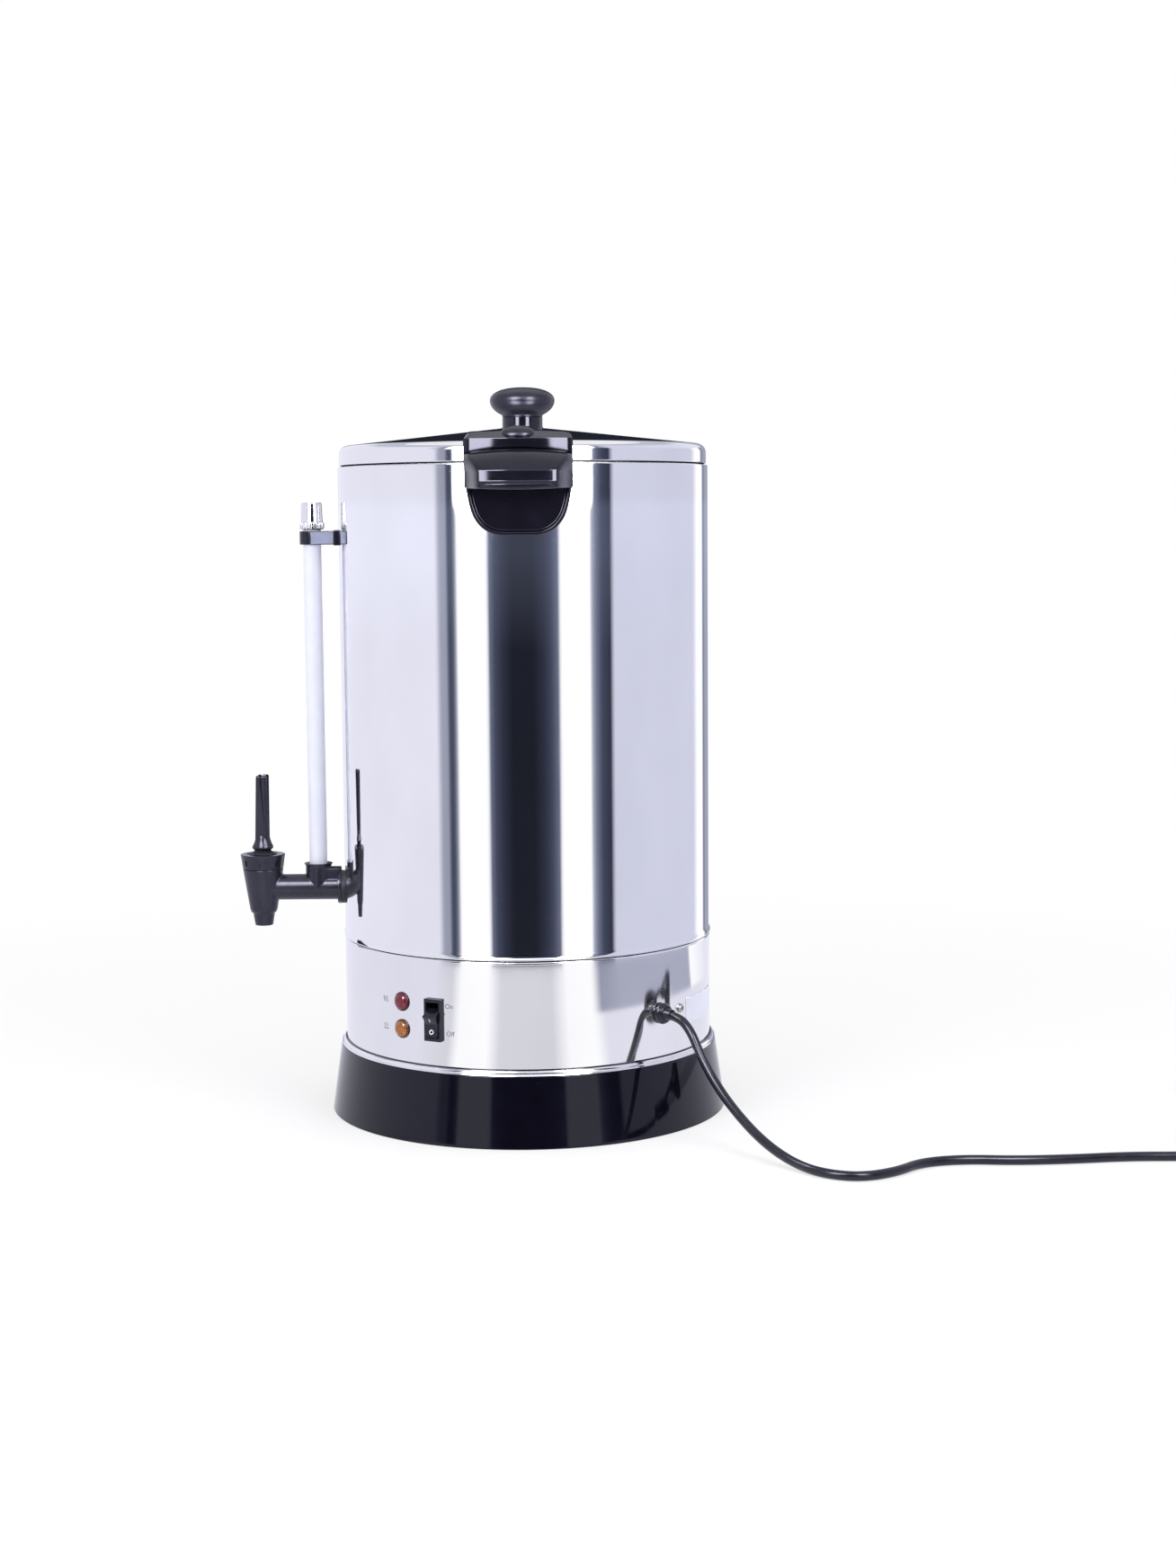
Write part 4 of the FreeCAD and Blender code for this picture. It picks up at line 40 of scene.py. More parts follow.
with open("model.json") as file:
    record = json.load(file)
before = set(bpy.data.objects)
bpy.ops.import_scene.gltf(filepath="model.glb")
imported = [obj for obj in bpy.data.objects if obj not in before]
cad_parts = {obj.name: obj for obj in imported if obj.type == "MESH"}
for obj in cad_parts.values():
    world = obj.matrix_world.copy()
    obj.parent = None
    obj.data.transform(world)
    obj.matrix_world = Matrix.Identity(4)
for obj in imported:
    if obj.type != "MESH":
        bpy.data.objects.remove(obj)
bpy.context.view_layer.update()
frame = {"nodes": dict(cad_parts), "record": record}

MM = 0.001
UP = Vector((0, 0, 1))
# Vertices closer than this, in metres, are one.
MERGE = 0.000002
# Steps round the big turned pieces.
CASING_STEPS = 192


# Sizes and colours that a user would change.


def size(name, default, description):
    """A length in metres with its name and meaning."""
    return FloatProperty(
        name=name, description=description, default=default, min=0.0, unit="LENGTH", precision=4
    )


def turn(name, default, description):
    """An angle, given in degrees and kept in radians."""
    return FloatProperty(
        name=name, description=description, default=radians(default), subtype="ANGLE"
    )


def colour(name, default, description):
    """A colour for a finish."""
    return FloatVectorProperty(
        name=name, description=description, default=default, size=3, min=0.0, max=1.0,
        subtype="COLOR",
    )


class UrnBodySizes(bpy.types.PropertyGroup):
    """Sizes of shell, band, base and lid."""

    body_radius: size("Shell radius", 0.1400, "Outside radius of the upper shell")
    shell_wall: size("Shell wall", 0.0007, "Sheet thickness of the upper shell")
    shell_top: size("Shell top", 0.4910, "Height of the upper shell's flange")
    band_radius: size("Band radius", 0.1407, "Outside radius of the lower band")
    band_top: size("Band top", 0.1356, "Height of the lower band's upper edge")
    base_height: size("Base height", 0.0520, "Height of the base skirt")
    base_neck: size("Base neck", 0.1447, "Radius of the base at its top")
    base_foot: size("Base foot", 0.1523, "Radius of the base at the floor")
    lid_radius: size("Lid radius", 0.1388, "Outside radius of the lid's skirt")
    lid_crown: size("Lid crown", 0.5198, "Height of the lid's flat centre")
    knob_radius: size("Knob radius", 0.0245, "Widest radius of the knob")
    collar_radius: size("Collar radius", 0.0152, "Radius of the ring under the knob")


class UrnHandleSizes(bpy.types.PropertyGroup):
    """Sizes of the side handles and the lid catches."""

    half_width: size("Half width", 0.0382, "Half width of a handle and of a catch")
    nose_half: size("Nose half width", 0.0275, "Half width of a handle's front face")
    front: size("Front", 0.1820, "Distance of a handle's front face from the axis")
    top: size("Top", 0.5004, "Height of a handle's arched top")
    lip: size("Lip", 0.4724, "Height of a handle's lower lip")
    plate_foot: size("Plate foot", 0.4410, "Height of the back plate's lower edge")
    catch_front: size("Catch front", 0.1645, "Distance of a catch's front from the axis")
    catch_top: size("Catch top", 0.5134, "Height of a catch's top")
    button_radius: size("Button radius", 0.0115, "Radius of the domed button on a catch")


class UrnTapSizes(bpy.types.PropertyGroup):
    """Sizes of the tap and the sight gauge."""

    reach: size("Tap reach", 0.2040, "Distance of the tap's upright axis from the urn's axis")
    arm_height: size("Arm height", 0.1700, "Height of the tap's arm")
    arm_radius: size("Arm radius", 0.0099, "Radius of the tap's arm")
    head_radius: size("Head radius", 0.0155, "Radius of the tap's cone at its top")
    lever_top: size("Lever top", 0.2572, "Height of the lever's top")
    gauge_reach: size("Gauge reach", 0.1612, "Distance of the gauge tube from the urn's axis")
    gauge_radius: size("Gauge radius", 0.00675, "Outside radius of the gauge tube")
    gauge_top: size("Gauge top", 0.4600, "Height of the gauge tube's end")


class UrnPanelSizes(bpy.types.PropertyGroup):
    """Places and sizes of what sits on the lower band."""

    switch_angle: turn("Switch direction", 332.0, "Direction of the switch from +X")
    switch_height: size("Switch height", 0.0902, "Height of the switch's middle")
    lamp_angle: turn("Lamp direction", 320.0, "Direction of the lamps from +X")
    lamp_high: size("Upper lamp height", 0.1007, "Height of the heating lamp")
    lamp_low: size("Lower lamp height", 0.0805, "Height of the keep-warm lamp")
    lens_radius: size("Lens radius", 0.0071, "Radius of a lamp's lens")
    gland_angle: turn("Gland direction", 45.2, "Direction of the cord gland from +X")
    gland_height: size("Gland height", 0.0885, "Height of the cord gland")
    earth_angle: turn("Earth screw direction", 54.2, "Direction of the earth screw from +X")
    earth_height: size("Earth screw height", 0.0889, "Height of the earth screw")
    plate_angle: turn("Rating plate direction", 69.3, "Direction of the rating plate's middle")
    cord_radius: size("Cord radius", 0.0034, "Radius of the power cord")


class UrnColours(bpy.types.PropertyGroup):
    """Colours of the urn's finishes."""

    steel: colour("Steel", (0.86, 0.86, 0.88), "Polished and brushed steel")
    gloss: colour("Gloss black", (0.0022, 0.0020, 0.0048), "Base skirt")
    satin: colour("Satin black", (0.0062, 0.0058, 0.0105), "Handles, catches and knob")
    tap: colour("Tap black", (0.0105, 0.0100, 0.0170), "Tap, lever and gauge bracket")
    rubber: colour("Rubber", (0.010, 0.010, 0.012), "Gaskets, rings and feet")
    cord: colour("Cord black", (0.0050, 0.0050, 0.0070), "Power cord, gland and plug")
    tube: colour("Gauge tube", (0.68, 0.69, 0.78), "Milky gauge tube")
    red: colour("Red lens", (0.20, 0.008, 0.022), "Heating lamp")
    amber: colour("Amber lens", (0.42, 0.14, 0.025), "Keep-warm lamp")
    print_grey: colour("Print", (0.10, 0.10, 0.12), "Thin print on the band")
    marks: colour("Switch marks", (0.82, 0.82, 0.84), "Marks on the rocker")


def mm(group, *names):
    """One size of a group, or a list of several, in millimetres."""
    sizes = getattr(bpy.context.scene, "urn_" + group)
    found = [getattr(sizes, name) / MM for name in names]
    return found if len(found) > 1 else found[0]


def panel():
    """The places and sizes on the lower band."""
    return bpy.context.scene.urn_panel


def paint(name):
    """A colour of the urn's finishes."""
    return tuple(getattr(bpy.context.scene.urn_colours, name))


# Tools for modelling, used as by hand. All their lengths are in millimetres.


def rest():
    """Leaves edit mode with nothing selected."""
    if bpy.context.object and bpy.context.object.mode != "OBJECT":
        bpy.ops.object.mode_set(mode="OBJECT")
    bpy.ops.object.select_all(action="DESELECT")


def take(piece):
    """Selects one piece alone and makes it active."""
    rest()
    piece.select_set(True)
    bpy.context.view_layer.objects.active = piece
    return piece


def named(name):
    """Names the piece that was just added."""
    bpy.context.object.name = name
    return bpy.context.object


def applied(piece):
    """Moves a piece's place, turn and scale into its mesh."""
    take(piece)
    bpy.ops.object.transform_apply(location=True, rotation=True, scale=True)
    return piece


def edit(piece, kind="VERT"):
    """Opens a piece in edit mode."""
    take(piece)
    bpy.ops.object.mode_set(mode="EDIT")
    bpy.ops.mesh.select_mode(type=kind)
    return piece


def done(piece):
    """Leaves edit mode and gives the piece back."""
    bpy.ops.object.mode_set(mode="OBJECT")
    return piece


def everything():
    """Selects the whole mesh."""
    bpy.ops.mesh.select_all(action="SELECT")


def choose(piece, test, kind="VERT"):
    """Selects the vertices, edges or faces whose place passes a test.
    A face's test also gets its normal."""
    bpy.ops.mesh.select_mode(type=kind)
    bpy.ops.mesh.select_all(action="DESELECT")
    mesh = bmesh.from_edit_mesh(piece.data)
    if kind == "VERT":
        found = [vertex for vertex in mesh.verts if test(vertex.co / MM)]
    elif kind == "EDGE":
        found = [edge for edge in mesh.edges if all(test(end.co / MM) for end in edge.verts)]
    else:
        found = [face for face in mesh.faces if test(face.calc_center_median() / MM, face.normal)]
    for element in found:
        element.select_set(True)
    mesh.select_flush_mode()
    bmesh.update_edit_mesh(piece.data)


def shift(x=0.0, y=0.0, z=0.0):
    """Moves what is selected."""
    bpy.ops.transform.translate(value=(x * MM, y * MM, z * MM))


def resize(x, y, z, centre):
    """Scales what is selected about a point."""
    bpy.ops.transform.resize(value=(x, y, z), center_override=tuple(c * MM for c in centre))


def pushed(axis, length):
    """Extrudes the selected faces along an axis."""
    step = [0.0, 0.0, 0.0]
    step[axis] = length * MM
    bpy.ops.mesh.extrude_region_move(TRANSFORM_OT_translate={"value": step})


def swollen(height):
    """Extrudes the selected faces along their normals."""
    bpy.ops.mesh.extrude_region_shrink_fatten(TRANSFORM_OT_shrink_fatten={"value": height * MM})


def tidy_mesh():
    """Merges doubles and turns the normals outwards, in edit mode."""
    everything()
    bpy.ops.mesh.remove_doubles(threshold=MERGE)
    bpy.ops.mesh.normals_make_consistent(inside=False)


def block(name, low, high):
    """A box between two corners."""
    rest()
    middle = [(a + b) / 2 * MM for a, b in zip(low, high)]
    bpy.ops.mesh.primitive_cube_add(size=1, location=middle)
    piece = named(name)
    piece.scale = [(b - a) * MM for a, b in zip(low, high)]
    return applied(piece)


def drawn(name, points):
    """A wire through points, open in edit mode."""
    rest()
    bpy.ops.mesh.primitive_plane_add(size=MM)
    piece = edit(named(name))
    bpy.ops.mesh.merge(type="CENTER")
    shift(*points[0])
    for before, after in zip(points, points[1:]):
        step = (after - before) * MM
        bpy.ops.mesh.extrude_vertices_move(TRANSFORM_OT_translate={"value": step})
    everything()
    return piece


def softened(piece, corners, spot, segments, near):
    """Rounds each corner of an outline that has a third number, starting that far from it."""
    for corner in corners:
        if len(corner) > 2:
            point = spot(corner)
            choose(piece, lambda v, p=point: (v - p).length < near)
            bpy.ops.mesh.bevel(affect="VERTICES", offset=corner[2] * MM, segments=segments)
    everything()


def sheet_of(name, corners, axis=0, place=0.0):
    """A flat face through corners given across an axis, open in edit mode."""

    def spot(corner):
        point = list(corner[:2])
        point.insert(axis, place)
        return Vector(point)

    piece = drawn(name, [spot(corner) for corner in corners])
    bpy.ops.mesh.edge_face_add()
    softened(piece, corners, spot, 8, 0.001)
    return piece


def slab(name, corners, axis, place, thick):
    """A plate with an outline across an axis."""
    piece = sheet_of(name, corners, axis, place)
    pushed(axis, thick)
    tidy_mesh()
    return done(piece)


def arc(start, end, bulge, count=6):
    """Points from one corner to another on an arc that bulges to the left by that much."""
    a, b = Vector(start), Vector(end)
    chord = b - a
    half = chord.length / 2
    side = Vector((-chord.y, chord.x)).normalized() * (1 if bulge > 0 else -1)
    bulge = abs(bulge)
    radius = (half * half + bulge * bulge) / (2 * bulge)
    centre = (a + b) / 2 + side * (bulge - radius)
    first = a - centre
    sweep = first.angle_signed(b - centre)
    points = []
    for step in range(1, count):
        angle = -sweep * step / count
        x = first.x * cos(angle) - first.y * sin(angle)
        y = first.x * sin(angle) + first.y * cos(angle)
        points.append(tuple(centre + Vector((x, y))))
    return [start, *points, end]


def turned(name, outline, steps=96, sweep=360.0, closed=False, start=0.0):
    """Draws an outline of (radius, height) corners and spins it about +Z.
    A third number rounds a corner, starting that far from it."""
    facing = Vector((cos(radians(start)), sin(radians(start)), 0))

    def spot(corner):
        return facing * corner[0] + UP * corner[1]

    corners = outline + outline[:1] if closed else outline
    piece = drawn(name, [spot(corner) for corner in corners])
    bpy.ops.mesh.remove_doubles(threshold=MERGE)
    softened(piece, outline, spot, 5, 0.002)
    bpy.ops.mesh.spin(steps=steps, angle=radians(sweep), center=(0, 0, 0), axis=UP)
    tidy_mesh()
    return done(piece)


def lofted(name, outline, stations, spot):
    """Draws an outline of (x, z) corners, pushes it along +Y from station to station, and then
    moves each corner of each slice to where spot puts it."""
    piece = sheet_of(name, outline, 1, stations[0])
    for before, after in zip(stations, stations[1:]):
        pushed(1, after - before)
    tidy_mesh()
    for station in stations:
        for x, z in outline:
            here = Vector((x, station, z))
            step = Vector(spot(x, station, z)) - here
            if step.length > 0.001:
                choose(piece, lambda v, h=here: (v - h).length < 0.02)
                shift(*step)
    tidy_mesh()
    return done(piece)


def both_sides(places):
    """The same places on both sides of zero."""
    return [-place for place in reversed(places)] + [0.0] + places


def modified(piece, kind, **settings):
    """Adds a modifier, sets it and applies it."""
    take(piece)
    bpy.ops.object.modifier_add(type=kind)
    modifier = piece.modifiers[-1]
    for name, value in settings.items():
        setattr(modifier, name, value)
    bpy.ops.object.modifier_apply(modifier=modifier.name)
    return piece


def rounded(piece, width, segments=3, angle=30):
    """Rounds the edges that are sharper than an angle."""
    return modified(
        piece, "BEVEL", width=width * MM, segments=segments, limit_method="ANGLE",
        angle_limit=radians(angle),
    )


def carved(piece, *tools):
    """Cuts tools out of a piece."""
    for tool in tools:
        modified(piece, "BOOLEAN", operation="DIFFERENCE", object=tool, solver="EXACT")
        bpy.data.objects.remove(tool)
    return piece


def joined(name, *pieces):
    """Joins pieces into one object."""
    rest()
    for piece in pieces:
        piece.select_set(True)
    bpy.context.view_layer.objects.active = pieces[0]
    bpy.ops.object.join()
    return named(name)


def moulded(piece, voxel, passes):
    """Melts overlapping forms into one skin with soft fillets."""
    modified(piece, "REMESH", mode="VOXEL", voxel_size=voxel * MM, use_smooth_shade=True)
    return modified(piece, "SMOOTH", factor=0.5, iterations=passes)


def put(piece, matrix):
    """Turns and moves a piece, and keeps its place in its mesh."""
    piece.matrix_world = matrix @ piece.matrix_world
    return applied(piece)


def moved(piece, x=0.0, y=0.0, z=0.0):
    """Moves a piece."""
    return put(piece, Matrix.Translation((x * MM, y * MM, z * MM)))


def on_band(piece, angle, height, proud=0.0):
    """Lays a piece whose front is +Z on the lower band, facing outwards."""
    radius = bpy.context.scene.urn_body.band_radius + proud * MM
    place = Matrix.Rotation(angle, 4, "Z") @ Matrix.Translation((radius, 0, height))
    return put(piece, place @ Matrix.Rotation(pi / 2, 4, "Y") @ Matrix.Rotation(pi / 2, 4, "Z"))


def copied(piece, name, matrix):
    """A copy with its own mesh, in another place."""
    take(piece)
    bpy.ops.object.duplicate()
    return put(named(name), matrix)


def settle(piece, body, slot, *nodes, smooth=32, finish=None):
    """Finishes a piece: smooth shading, weighted normals, the material of its slot or finish, its
    body, and hides the nodes that it stands for.
    """
    applied(piece)
    bpy.ops.object.shade_smooth_by_angle(angle=radians(smooth))
    modified(piece, "WEIGHTED_NORMAL", keep_sharp=True)
    piece.data.materials.clear()
    piece.data.materials.append(FINISHES[finish or slot])
    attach(piece, body)
    if nodes:
        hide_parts(*nodes)
    return piece


def dressed(piece, finish, test):
    """Gives the faces of a settled piece that pass a test another finish."""
    piece.data.materials.append(FINISHES[finish])
    edit(piece, "FACE")
    choose(piece, test, "FACE")
    piece.active_material_index = 1
    bpy.ops.object.material_slot_assign()
    return done(piece)


# Materials, all procedural.

FINISHES = {}
# Plastics mirror a little bluer than white.
COOL_GLOSS = (0.82, 0.83, 1.0)
# Most of a noise lies between these two values.
NOISE_LOW, NOISE_HIGH = 0.3, 0.7


class Nodes:
    """A node tree under construction."""

    def __init__(self, owner):
        owner.use_nodes = True
        self.tree = owner.node_tree

    def feed(self, socket, value):
        """Links an output to an input, or sets a constant on it."""
        if isinstance(value, bpy.types.NodeSocket):
            self.tree.links.new(value, socket)
        elif socket.type == "RGBA":
            socket.default_value = (*value, 1.0)
        else:
            socket.default_value = value

    def add(self, kind, inputs, **settings):
        """Adds a node, sets its properties and feeds its inputs."""
        node = self.tree.nodes.new("ShaderNode" + kind)
        for name, value in settings.items():
            setattr(node, name, value)
        for name, value in inputs.items():
            self.feed(node.inputs[name], value)
        return node

    def mapped(self, value, start, stop, low, high):
        """Maps a value between start and stop to the range from low to high."""
        limits = {"From Min": start, "From Max": stop, "To Min": low, "To Max": high}
        return self.add("MapRange", {"Value": value, **limits}).outputs["Result"]

    def mixed(self, part, one, other):
        """Mixes two colours."""
        mix = self.add("Mix", {}, data_type="RGBA")
        for socket, source in ((0, part), (6, one), (7, other)):
            self.feed(mix.inputs[socket], source)
        return mix.outputs[2]

    def show(self, node):
        """Shows a node's shader on the surface instead of the first one."""
        self.tree.nodes.remove(self.tree.nodes["Principled BSDF"])
        self.tree.links.new(node.outputs[0], self.tree.nodes["Material Output"].inputs["Surface"])


class Surface(Nodes):
    """A material under construction, on object coordinates."""

    def __init__(self, name, **sockets):
        self.material = bpy.data.materials.new(name)
        super().__init__(self.material)
        self.shader = self.tree.nodes["Principled BSDF"]
        self.place = self.add("TexCoord", {}).outputs["Object"]
        for socket, value in sockets.items():
            self.feed(self.shader.inputs[socket.replace("_", " ")], value)

    def noise(self, scale, detail, roughness=0.5):
        """A noise with its own scale along each axis, or one for all."""
        if not isinstance(scale, tuple):
            scale = (scale, scale, scale)
        mapping = self.add("Mapping", {"Scale": scale, "Vector": self.place})
        noise = self.add(
            "TexNoise",
            {"Scale": 1.0, "Detail": detail, "Roughness": roughness, "Vector": mapping.outputs[0]},
        )
        return noise.outputs["Fac"]

    def ranged(self, value, low, high):
        """Maps the middle of a noise to a range."""
        return self.mapped(value, NOISE_LOW, NOISE_HIGH, low, high)

    def tinted(self, value, one, other):
        """Mixes two colours by a noise into the base colour."""
        tone = self.mixed(self.ranged(value, 0.0, 1.0), one, other)
        self.feed(self.shader.inputs["Base Color"], tone)

    def roughened(self, value, low, high):
        """Varies the roughness by a noise."""
        self.feed(self.shader.inputs["Roughness"], self.ranged(value, low, high))

    def relief(self, value, depth):
        """Raises the surface by a height in millimetres."""
        normal = self.shader.inputs["Normal"]
        before = {"Normal": normal.links[0].from_socket} if normal.links else {}
        bump = self.add("Bump", {"Distance": depth * MM, "Strength": 1.0, **before, "Height": value})
        self.feed(normal, bump.outputs["Normal"])


def shade(tone, factor):
    """A colour made lighter or darker."""
    return tuple(min(1.0, channel * factor) for channel in tone)


def make_metal(name, tone, rough, wave, wave_depth, grain, grain_depth):
    """A steel finish: uneven roughness, slight waves of the sheet and a drawn or brushed grain."""
    surface = Surface(name, Metallic=1.0)
    surface.tinted(surface.noise((14, 14, 9), 3.0), tone, shade(tone, 0.93))
    surface.roughened(surface.noise((23, 23, 31), 4.0), *rough)
    surface.relief(surface.noise(wave, 1.0), wave_depth)
    surface.relief(surface.noise(grain, 4.0, 0.6), grain_depth)
    FINISHES[name] = surface.material


def make_plastic(name, tone, rough, grain, grain_depth, lighter=1.5, **sockets):
    """A moulded plastic or rubber: cloudy tone, uneven gloss and a fine grain."""
    surface = Surface(name, Specular_Tint=COOL_GLOSS, **sockets)
    surface.tinted(surface.noise(60, 3.0), tone, shade(tone, lighter))
    surface.roughened(surface.noise(140, 4.0), *rough)
    surface.relief(surface.noise(grain, 3.0, 0.6), grain_depth)
    FINISHES[name] = surface.material


def make_lens(name, tone):
    """A clear coloured lens with a faint cast texture."""
    surface = Surface(name, Transmission_Weight=0.2, IOR=1.49, Coat_Weight=0.2, Coat_Roughness=0.04)
    surface.tinted(surface.noise(420, 2.0), tone, shade(tone, 0.55))
    surface.roughened(surface.noise(300, 2.0), 0.06, 0.16)
    surface.relief(surface.noise(700, 1.0), 0.03)
    FINISHES[name] = surface.material


def make_finishes():
    """Makes every material, one for each of the record's slots and some of the scene's own."""
    steel, satin = paint("steel"), paint("satin")
    # Tone, roughness, waves and their depth, grain and its depth.
    for name, *look in (
        ("polished_steel", steel, (0.025, 0.06), (9, 9, 2.5), 0.05, (260, 260, 24), 0.0008),
        ("brushed_steel", shade(steel, 0.95), (0.035, 0.07), (7, 7, 5), 0.03, (14, 14, 1500), 0.0008),
        ("sheet_steel", shade(steel, 0.8), (0.3, 0.45), 10, 0.05, 500, 0.003),
        ("chrome", shade(steel, 0.98), (0.04, 0.09), 40, 0.01, 900, 0.001),
        ("screw_steel", shade(steel, 0.85), (0.2, 0.32), 60, 0.01, 1500, 0.004),
        ("brass", (0.80, 0.58, 0.27), (0.2, 0.35), 60, 0.01, 1500, 0.004),
        ("heater_aluminium", (0.72, 0.73, 0.75), (0.35, 0.5), 30, 0.05, 600, 0.01),
        ("element_steel", (0.45, 0.44, 0.44), (0.35, 0.5), 30, 0.05, 700, 0.01),
        ("label_silver", (0.90, 0.91, 0.95), (0.5, 0.6), 30, 0.01, (8, 8, 1200), 0.002),
    ):
        make_metal(name, *look)
    # Tone, roughness, grain and its depth, how much lighter the clouds are, and other sockets.
    for name, *look, sockets in (
        ("black_gloss", paint("gloss"), (0.03, 0.06), 1100, 0.0003, 1.5, {"IOR": 1.4}),
        ("black_satin", satin, (0.06, 0.11), 1500, 0.0003, 1.5, {"IOR": 1.45}),
        ("knob_plastic", satin, (0.28, 0.34), 1500, 0.0008, 1.5, {}),
        ("tap_plastic", paint("tap"), (0.2, 0.28), 1500, 0.0005, 1.5, {}),
        ("white_plastic", (0.72, 0.72, 0.70), (0.35, 0.5), 1200, 0.003, 1.08, {}),
        ("black_rubber", paint("rubber"), (0.5, 0.7), 1600, 0.006, 1.5, {}),
        ("silicone", (0.55, 0.55, 0.54), (0.4, 0.55), 1500, 0.004, 1.1, {"Subsurface_Weight": 0.3}),
        ("cord_black", paint("cord"), (0.2, 0.28), 1300, 0.0008, 1.5, {}),
        ("gauge_tube", paint("tube"), (0.12, 0.2), 900, 0.0006, 1.06,
         {"Subsurface_Weight": 0.35, "Subsurface_Radius": (0.003, 0.003, 0.004)}),
        ("lamp_red_rim", shade(paint("red"), 0.12), (0.3, 0.4), 900, 0.001, 1.5, {}),
        ("lamp_amber_rim", shade(paint("amber"), 0.12), (0.3, 0.4), 900, 0.001, 1.5, {}),
        # A near-black dull finish for the lid's lower edge. It stands in for the shadow in the narrow
        # gap between lid and shell: painted shadow.
        ("dark_joint", (0.003, 0.003, 0.004), (0.6, 0.7), 900, 0.001, 1.5, {"IOR": 1.1}),
        # A bluish grey for the flat sides of the bracket arms, standing in for the pale reflection
        # seen on them: painted reflection.
        ("bracket_side", (0.16, 0.17, 0.24), (0.25, 0.4), 900, 0.002, 1.5, {}),
        ("print", paint("print_grey"), (0.5, 0.6), 1800, 0.001, 1.2, {}),
        ("switch_marks", paint("marks"), (0.35, 0.5), 1500, 0.001, 1.06, {}),
    ):
        make_plastic(name, *look, **sockets)
    make_lens("lamp_red", paint("red"))
    make_lens("lamp_amber", paint("amber"))


# The camera, the floor and the light.

# Where the photograph was taken from, in metres, and the camera's turns in radians.
CAMERA_PLACE = (1.8643, 0.0391, 0.4517)
PITCH, YAW, ROLL = 0.1088, 0.0255, -0.0078
# How far the urn is turned in the photograph.
AROUND = radians(1.2)
FOCAL_PIXELS, PHOTO_HEIGHT, SENSOR = 2706.74, 1744, 36.0
# How bright the white surround is as a light, where 1 is how bright it looks.
WORLD_LIGHT = 0.55
FLOOR_WIDTH = 24.0
FLOOR_TONE = (0.80, 0.80, 0.82)
# Distances from the axis between which the floor fades, and its share of white at both.
FLOOR_FADE = (0.15, 1.1, 0.62, 1.0)
# Name, place, aim, width and height in metres, and power in watts.
LIGHTS = (
    ("left_strip", (1.3, -0.95, 0.9), (0, 0, 0.3), 0.7, 1.6, 16.0),
    ("right_strip", (1.3, 1.05, 0.9), (0, 0, 0.3), 0.7, 1.6, 16.0),
    ("top_softbox", (-0.2, 0.0, 2.2), (0, 0, 0.2), 2.2, 2.2, 26.0),
)


def look_from_photo_side():
    """The camera: it looks along -X at the urn, a little from above."""

    def placed(vector):
        x, y = -vector[1], vector[0]
        return Vector(
            (x * cos(AROUND) - y * sin(AROUND), x * sin(AROUND) + y * cos(AROUND), vector[2])
        )

    flat = Vector((cos(YAW), -sin(YAW), 0))
    over = Vector((sin(YAW) * sin(PITCH), cos(YAW) * sin(PITCH), cos(PITCH)))
    ahead = placed(Vector((sin(YAW) * cos(PITCH), cos(YAW) * cos(PITCH), -sin(PITCH))))
    right = placed(flat * cos(ROLL) + over * sin(ROLL))
    upward = placed(over * cos(ROLL) - flat * sin(ROLL))
    rest()
    bpy.ops.object.camera_add()
    camera = named("photo_camera")
    camera.data.sensor_width = SENSOR
    camera.data.lens = FOCAL_PIXELS / PHOTO_HEIGHT * SENSOR
    camera.data.clip_start = 0.01
    camera.matrix_world = Matrix([*zip(right, upward, -ahead, CAMERA_PLACE), (0, 0, 0, 1)])
    bpy.context.scene.camera = camera


def light_world():
    """A plain white surround whose light on the urn is softer than what is seen of it."""
    world = bpy.data.worlds.new("surround")
    bpy.context.scene.world = world
    nodes = Nodes(world)
    path = nodes.add("LightPath", {}).outputs
    seen = path["Is Camera Ray"]
    for ray in ("Is Glossy Ray", "Is Transmission Ray"):
        seen = nodes.add("Math", {0: seen, 1: path[ray]}, operation="MAXIMUM").outputs[0]
    strength = nodes.mapped(seen, 0.0, 1.0, WORLD_LIGHT, 1.0)
    background = nodes.tree.nodes["Background"]
    nodes.feed(background.inputs["Color"], (1.0, 1.0, 1.0))
    nodes.feed(background.inputs["Strength"], strength)


def make_floor():
    """A pale floor that keeps the urn's soft shadow and fades into the white surround."""
    rest()
    bpy.ops.mesh.primitive_plane_add(size=FLOOR_WIDTH)
    floor = named("floor")
    material = bpy.data.materials.new("floor_paper")
    nodes = Nodes(material)
    place = nodes.add("TexCoord", {}).outputs["Object"]
    distance = nodes.add("VectorMath", {0: place}, operation="LENGTH").outputs["Value"]
    fade = nodes.mapped(distance, *FLOOR_FADE)
    seen = nodes.add("LightPath", {}).outputs["Is Camera Ray"]
    both = nodes.add("Math", {0: fade, 1: seen}, operation="MULTIPLY").outputs[0]
    paper = nodes.add("BsdfDiffuse", {"Color": FLOOR_TONE}).outputs[0]
    glow = nodes.add("Emission", {}).outputs[0]
    nodes.show(nodes.add("MixShader", {0: both, 1: paper, 2: glow}))
    floor.data.materials.append(material)


# What shiny surfaces see around the urn: strip lights, dark flags and pale walls.
STRIP = (1.24, 1.24, 1.25)
LEFT_WALL = (0.91, 0.91, 1.03)
RIGHT_WALL = (0.72, 0.73, 0.88)
FROST = (0.38, 0.40, 0.50)
LILAC = (0.48, 0.49, 0.62)
SMOKE = (0.17, 0.19, 0.28)
SLATE = (0.065, 0.075, 0.12)
DUSK = (0.034, 0.038, 0.065)
FLAG = (0.015, 0.017, 0.027)
BRIGHT = (20.0, 20.0, 20.6)
GLOW = (2.2, 2.25, 2.8)
HAZE = (0.04, 0.046, 0.065)
CEILING = (0.60, 0.61, 0.72)
PAPER = (0.92, 0.92, 1.03)
DIM_PAPER = (0.83, 0.83, 0.89)
